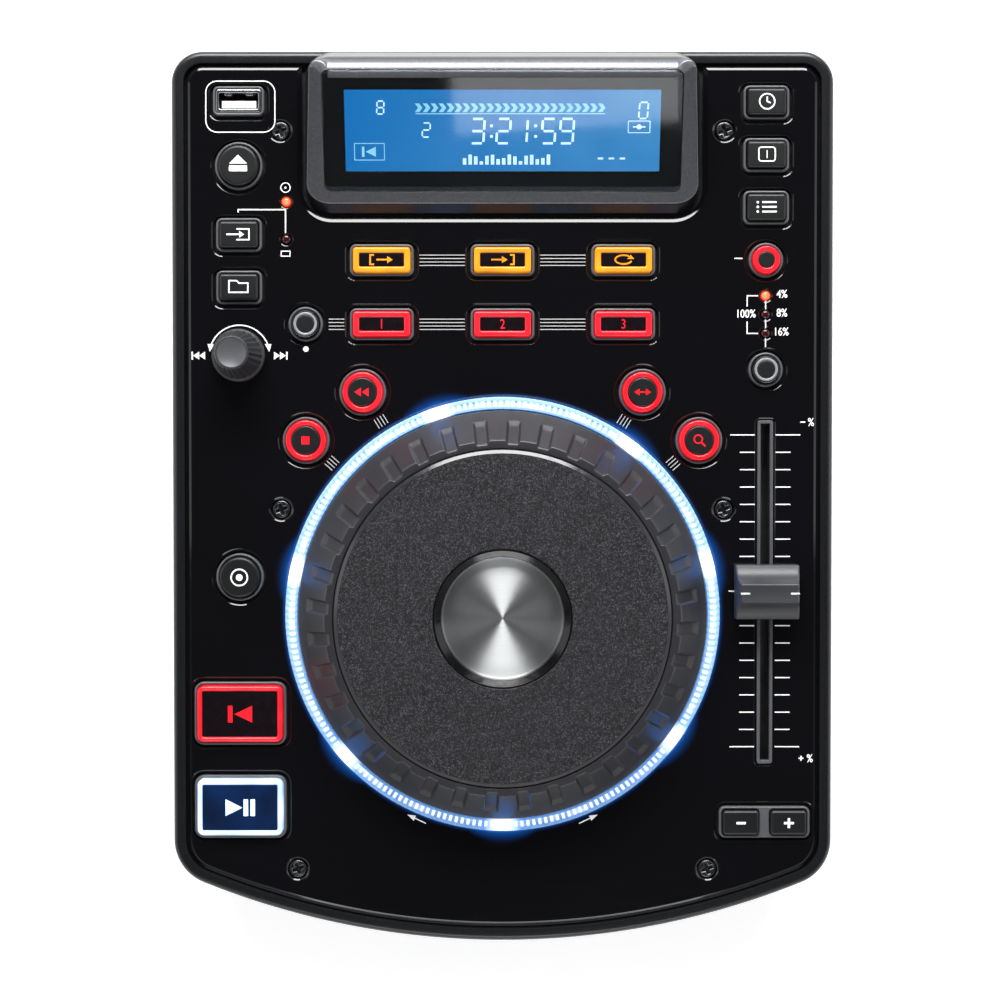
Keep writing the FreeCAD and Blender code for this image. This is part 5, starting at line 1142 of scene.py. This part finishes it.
def make_fader_cap():
    """The finger rest: two hollowed slopes, a raised ridge between them and two white pointer lines."""
    form = Form()
    low, shoulder, top, half, ridge = 1.6, 6.6, 13.1, 8.65, 2.9
    side = [(-half, low), (-half, shoulder)]
    for step in range(1, 8):
        share = step / 8
        sag = 1.15 * math.sin(math.pi * share)
        v = -half + (half - ridge) * share + sag * 0.7
        side.append((v, shoulder + (top - shoulder) * share - sag))
    side.append((-ridge, top))
    for step in range(1, 6):
        share = step / 6
        side.append((-ridge + 2 * ridge * share, top - 0.35 * math.sin(math.pi * share)))
    side += [(-v, w) for v, w in reversed(side[:10])]
    skins = []
    for u in (-10.1, 10.1):
        loop = []
        for v, w in side:
            draft = 1.0 - 0.11 * max(0.0, w - shoulder) / (top - shoulder)
            loop.append((COLUMN + u * draft, FADER_V + v, w))
        skins.append(loop)
    form.loft(skins)
    for skin in skins:
        form.put(skin, [list(range(len(side)))])
    satin = grained("fader_abs_satin", "#38393d", 0.38, 0.25, 0.012, 0.1)
    piece = form.make("fader_finger_rest", PANEL, "fader", [satin])
    edges = piece.modifiers.new("moulded_edges", "BEVEL")
    edges.width = 0.45 * MM
    edges.segments = 3
    edges.limit_method = "ANGLE"
    edges.angle_limit = math.radians(38)
    piece.modifiers.move(1, 0)
    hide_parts("fader_cap")
    form = Form()
    for end in (-1, 1):
        near, far = sorted((COLUMN + end * 6.4, COLUMN + end * 9.2))
        low, high = FADER_V - 0.25, FADER_V + 0.25
        form.patch([(near, low), (far, low), (far, high), (near, high)], top - 0.35 + 0.03)
    pointer = form.make("fader_pointer_print", PANEL, "fader", [INK_WHITE], weighted=False)


def make_track_knob():
    """A tapering knob with flutes to grip, a smooth skirt and a raised rim round its flat top."""
    form = Form()
    rows = [(6.9, 1.6, 0), (8.2, 1.6, 0), (8.4, 1.85, 0), (8.4, 3.6, 0), (8.15, 3.95, 0), (7.8, 4.1, 0)]
    rows += [(7.6, 4.6, 1), (5.75, 17.0, 1), (5.55, 17.6, 0.5), (5.2, 18.2, 0)]
    rows += [(4.9, 18.45, 0), (4.55, 18.45, 0), (4.3, 18.2, 0), (0.05, 18.15, 0)]
    loops = turned(rows, 360, flute_depth)
    form.loft(loops[:-2], 0)
    form.loft(loops[-3:], 1)
    where = PANEL @ Matrix.Translation((-COLUMN * MM, KNOB_V * MM, 0))
    rubber = grained("knob_rubber_fluted", "#2c2d30", 0.5, 0.3, 0.02, 0.12)
    crown = grained("knob_top_satin", "#515357", 0.4, 0.2, 0.008, 0.08)
    piece = form.make("track_knob_fluted", where, "knob", [rubber, crown], sharp=50)
    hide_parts("track_knob")


def make_screws():
    """Pan heads with a cross recess, sunk in the plate."""
    form = Form()
    cross = []
    for quarter in range(4):
        turn = math.radians(quarter * 90 + 20)
        c, s = math.cos(turn), math.sin(turn)
        cross += [(x * c - y * s, x * s + y * c) for x, y in ((1.75, -0.35), (1.75, 0.35), (0.45, 0.45))]
    for u, v in SCREWS:
        recess = [(u + x, v + y) for x, y in cross]
        form.slab(circle(u, v, 2.9, 40), [recess], DECK_TOP, -0.6, 0.6, 0, 5)
        form.fill(moved_out(recess, 0.8), [], -1.75, 0)
    piece = form.make("plate_screws", PANEL, "player", [SCREW_STEEL])
    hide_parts("housing_screws")


def make_lamps():
    """Small domed lamps, two of them lit."""
    form = Form()
    for u, v, lit in LAMPS:
        dome = [(1.5 * x, y) for x, y in arc(0, -0.2, 1.0, 0, 75, 5)]
        form.lathe(u, v, [(1.5, DECK_TOP)] + dome + [(0.02, 0.8)], 32, lit)
    # The dark lamp gets a faint painted glow and a painted highlight in its middle.
    dark = lamp_lens("lamp_epoxy_red_dark_painted_glow", "#1c0408", "#3a0a12", 0.06)
    lit = lamp_lens("lamp_epoxy_red_lit", "#ff1404", "#ff7a50", 1.15)
    piece = form.make("lamp_lenses", PANEL, "player", [dark, lit])
    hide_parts("indicator_leds")


def make_usb_socket():
    """A folded steel shell with spring tabs and a white tongue."""
    form = Form()
    inner = rounded(-COLUMN, USB_V, 12.5, 5.1, 0.5)
    floor = -8.9
    form.slab(rounded(-COLUMN, USB_V, 14.3, 7.3, 0.8), [inner], -9.0, 0.85, 0.3)
    form.fill(moved_out(inner, 0.2), [], floor, 1)
    form.slab(rounded(-COLUMN, USB_V - 0.95, 11.0, 2.3, 0.2), [], floor, -0.5, 0.2, 2)
    for side in (-1, 1):
        form.slab(rounded(-COLUMN + side * 3.4, USB_V + 2.2, 2.4, 0.7, 0.2), [], -6.0, 0.1, 0.2)
    dark = gloss_black("socket_inside_black", "#0b0b0c", 0.3)
    white = grained("tongue_nylon_white", "#efefec", 0.4, 0.3, 0.01, 0.03)
    piece = form.make("usb_socket_plated", PANEL, "player", [STEEL, dark, white])
    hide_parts("usb_a_socket")


def laminate(name):
    """Glass-fibre laminate under green solder mask: a fine weave and paler copper runs show through."""
    material, tree, place = begin(name)
    greens = {"Color1": colour("#1d6a3c"), "Color2": colour("#1a5c36"), "Mortar": colour("#2f8a50")}
    cell = {"Scale": per_metre(2.4), "Mortar Size": 0.03}
    weave = add(tree, "TexBrick", {"Vector": place, **cell, **greens})
    bump = add(tree, "Bump", {"Height": weave.outputs["Fac"], "Strength": 0.3, "Distance": 0.03 * MM})
    surface(tree, weave.outputs["Color"], 0.35, bump)
    return material


def dress_frame():
    """Gives each CAD node that stays its finish."""
    sheet = metal("sheet_steel_zinc", "#a9abad", 0.34, 0.5, (1.0, 0.08, 1.0))
    rear_paint = grained("rear_sheet_black_painted", "#161617", 0.45, 0.4, 0.02, 0.12)
    black = grained("socket_pbt_black", "#131314", 0.4, 0.3, 0.012, 0.12)
    bezel = grained("bezel_abs_satin", "#0e0e10", 0.3, 0.35, 0.015, 0.1)
    rubber = grained("foot_rubber_moulded", "#18181a", 0.75, 0.5, 0.03, 0.14, specular=0.3)
    natural = grained("gear_acetal_natural", "#d9d6cd", 0.4, 0.4, 0.01, 0.05)
    board = laminate("board_laminate_green")
    roller = grained("roller_rubber_ground", "#26262a", 0.8, 0.3, 0.02, 0.1, specular=0.3)
    dressing = {
        "bottom_housing": HOUSING,
        "slot_bezel": bezel,
        "jog_bearing": STEEL,
        "rear_panel": rear_paint,
        "line_sockets": black,
        "usb_b_socket": STEEL,
        "mains_inlet": black,
        "rocker_frame": black,
        "power_rocker": grained("rocker_nylon_gloss", "#101012", 0.22, 0.6, 0.004, 0.08),
        "rubber_feet": rubber,
        "control_board": board,
        "main_board": board,
        "power_board": board,
        "fader_body": sheet,
        "fader_lever": STEEL,
        "encoder_body": sheet,
        "encoder_rotor": natural,
        "drive_chassis": sheet,
        "jog_shaft": STEEL,
        "turntable": natural,
        "laser_sled": black,
        "loading_roller": roller,
    }
    for node, finish in dressing.items():
        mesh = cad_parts[node].data
        mesh.materials.clear()
        mesh.materials.append(finish)


def either(tree, *values, operation="MAXIMUM"):
    """Combines several values into one, two at a time."""
    result = values[0]
    for value in values[1:]:
        result = add(tree, "Math", {0: result, 1: value}, operation=operation).outputs[0]
    return result


def make_floor():
    """A pale sheet under the player that looks evenly white and lights nothing by itself."""
    form = Form()
    form.patch([(-3000, -3000), (3000, -3000), (3000, 3000), (-3000, 3000)], -0.2)
    mesh = bpy.data.meshes.new("studio_floor")
    mesh.from_pydata([Vector(point) * MM for point in form.points], [], form.faces)
    floor = bpy.data.objects.new("studio_floor", mesh)
    bpy.context.scene.collection.objects.link(floor)
    material = bpy.data.materials.new("floor_paper_pale")
    material.use_nodes = True
    tree = material.node_tree
    tree.nodes.clear()
    rays = add(tree, "LightPath").outputs
    seen = either(tree, rays["Is Camera Ray"], rays["Is Glossy Ray"], rays["Is Transmission Ray"])
    power = add(tree, "Math", {0: seen, 1: 0.62}, operation="MULTIPLY")
    lit = add(tree, "Emission", {"Color": (1, 1, 1, 1), "Strength": power.outputs[0]})
    fibre = add(tree, "TexNoise", {"Scale": 400.0, "Detail": 3.0})
    ends = {6: colour("#e9e9e9"), 7: colour("#efefef")}
    paper = add(tree, "Mix", {0: fibre.outputs["Fac"], **ends}, data_type="RGBA")
    base = add(tree, "BsdfDiffuse", {"Color": paper.outputs[2]})
    both = add(tree, "AddShader", {0: lit.outputs[0], 1: base.outputs[0]})
    add(tree, "OutputMaterial", {"Surface": both.outputs[0]})
    mesh.materials.append(material)


def make_world():
    """White for the camera and low down for mirrored rays, dim for all other light."""
    world = bpy.data.worlds.new("studio")
    bpy.context.scene.world = world
    world.use_nodes = True
    tree = world.node_tree
    tree.nodes.clear()
    rays = add(tree, "LightPath").outputs
    way = add(tree, "TexCoord").outputs["Generated"]
    rise = add(tree, "SeparateXYZ", {"Vector": way}).outputs[2]
    limits = {"From Min": 0.62, "From Max": 0.4, "To Min": 0.0, "To Max": 1.0}
    wall = add(tree, "MapRange", {"Value": rise, **limits}).outputs[0]
    glossy = either(tree, rays["Is Glossy Ray"], wall, operation="MULTIPLY")
    through = either(tree, rays["Is Transmission Ray"], wall, operation="MULTIPLY")
    seen = either(tree, glossy, through, rays["Is Camera Ray"])
    rest = either(tree, rays["Is Glossy Ray"], 1.0, operation="LESS_THAN")
    dim = add(tree, "MapRange", {"Value": rest, "To Min": 0.035, "To Max": 0.28})
    level = either(tree, seen, dim.outputs[0])
    back = add(tree, "Background", {"Color": (1, 1, 1, 1), "Strength": level})
    add(tree, "OutputWorld", {"Surface": back.outputs[0]})


def make_lights():
    """Four soft lamps, a card that the window mirrors, and a blue lamp at each bright spot of the ring."""
    middle = (0, 0, 0.07)
    for name, place, aim, size, power in (
        ("rear_softbox", (0.0, 0.85, 0.75), middle, (0.9, 0.42), 23.0),
        ("left_softbox", (-0.95, 0.1, 0.55), middle, (0.4, 0.9), 1.3),
        ("right_softbox", (0.95, 0.1, 0.55), middle, (0.4, 0.9), 1.3),
        ("front_softbox", (0.0, -1.0, 0.7), middle, (0.7, 0.3), 3.0),
        ("window_card", (0.15, -1.45, 3.0), (0.02, 0.12, 0.09), (0.5, 0.2), 0.7),
    ):
        lamp = bpy.data.lights.new(name, "AREA")
        lamp.shape = "RECTANGLE"
        lamp.size, lamp.size_y = size
        lamp.energy = power
        holder = bpy.data.objects.new(name, lamp)
        holder.location = place
        holder.rotation_euler = (Vector(aim) - Vector(place)).to_track_quat("-Z", "Y").to_euler()
        bpy.context.scene.collection.objects.link(holder)
    for index, degrees in enumerate(RING_LAMPS):
        lamp = bpy.data.lights.new(f"ring_lamp_{index}", "POINT")
        lamp.energy = 0.0016
        lamp.specular_factor = 0.0
        lamp.color = colour("#2a8cff")[:3]
        lamp.shadow_soft_size = 0.005
        holder = bpy.data.objects.new(f"ring_lamp_{index}", lamp)
        turn = math.radians(degrees)
        holder.location = JOG_WHEEL @ (Vector((67.4 * math.cos(turn), 67.4 * math.sin(turn), 6.0)) * MM)
        bpy.context.scene.collection.objects.link(holder)


def make_camera():
    """Looks down at the face plate from 600 mm, a little from the front."""
    camera = bpy.data.cameras.new("photo_camera")
    camera.sensor_fit = "HORIZONTAL"
    camera.sensor_width = 36.0
    camera.angle = math.radians(29.86)
    holder = bpy.data.objects.new("photo_camera", camera)
    aim = PANEL @ Vector((-0.8 * MM, -0.62 * MM, 0))
    lean = math.radians(2.75)
    holder.location = aim + 0.6 * Vector((0, -math.sin(lean), math.cos(lean)))
    holder.rotation_euler = (lean, 0, 0)
    bpy.context.scene.collection.objects.link(holder)
    bpy.context.scene.camera = holder


make_camera()
make_floor()
make_world()
make_lights()
dress_frame()
make_top_housing()
make_face_plate()
make_prints()
for key_name, key_place in KEYS.items():
    make_key(key_name, key_place)
make_hood()
make_window()
make_lcd()
make_light_ring()
make_jog_wheel()
make_jog_disc()
make_jog_cap()
make_fader_cap()
make_track_knob()
make_screws()
make_lamps()
make_usb_socket()

bpy.context.scene.view_settings.view_transform = "Standard"
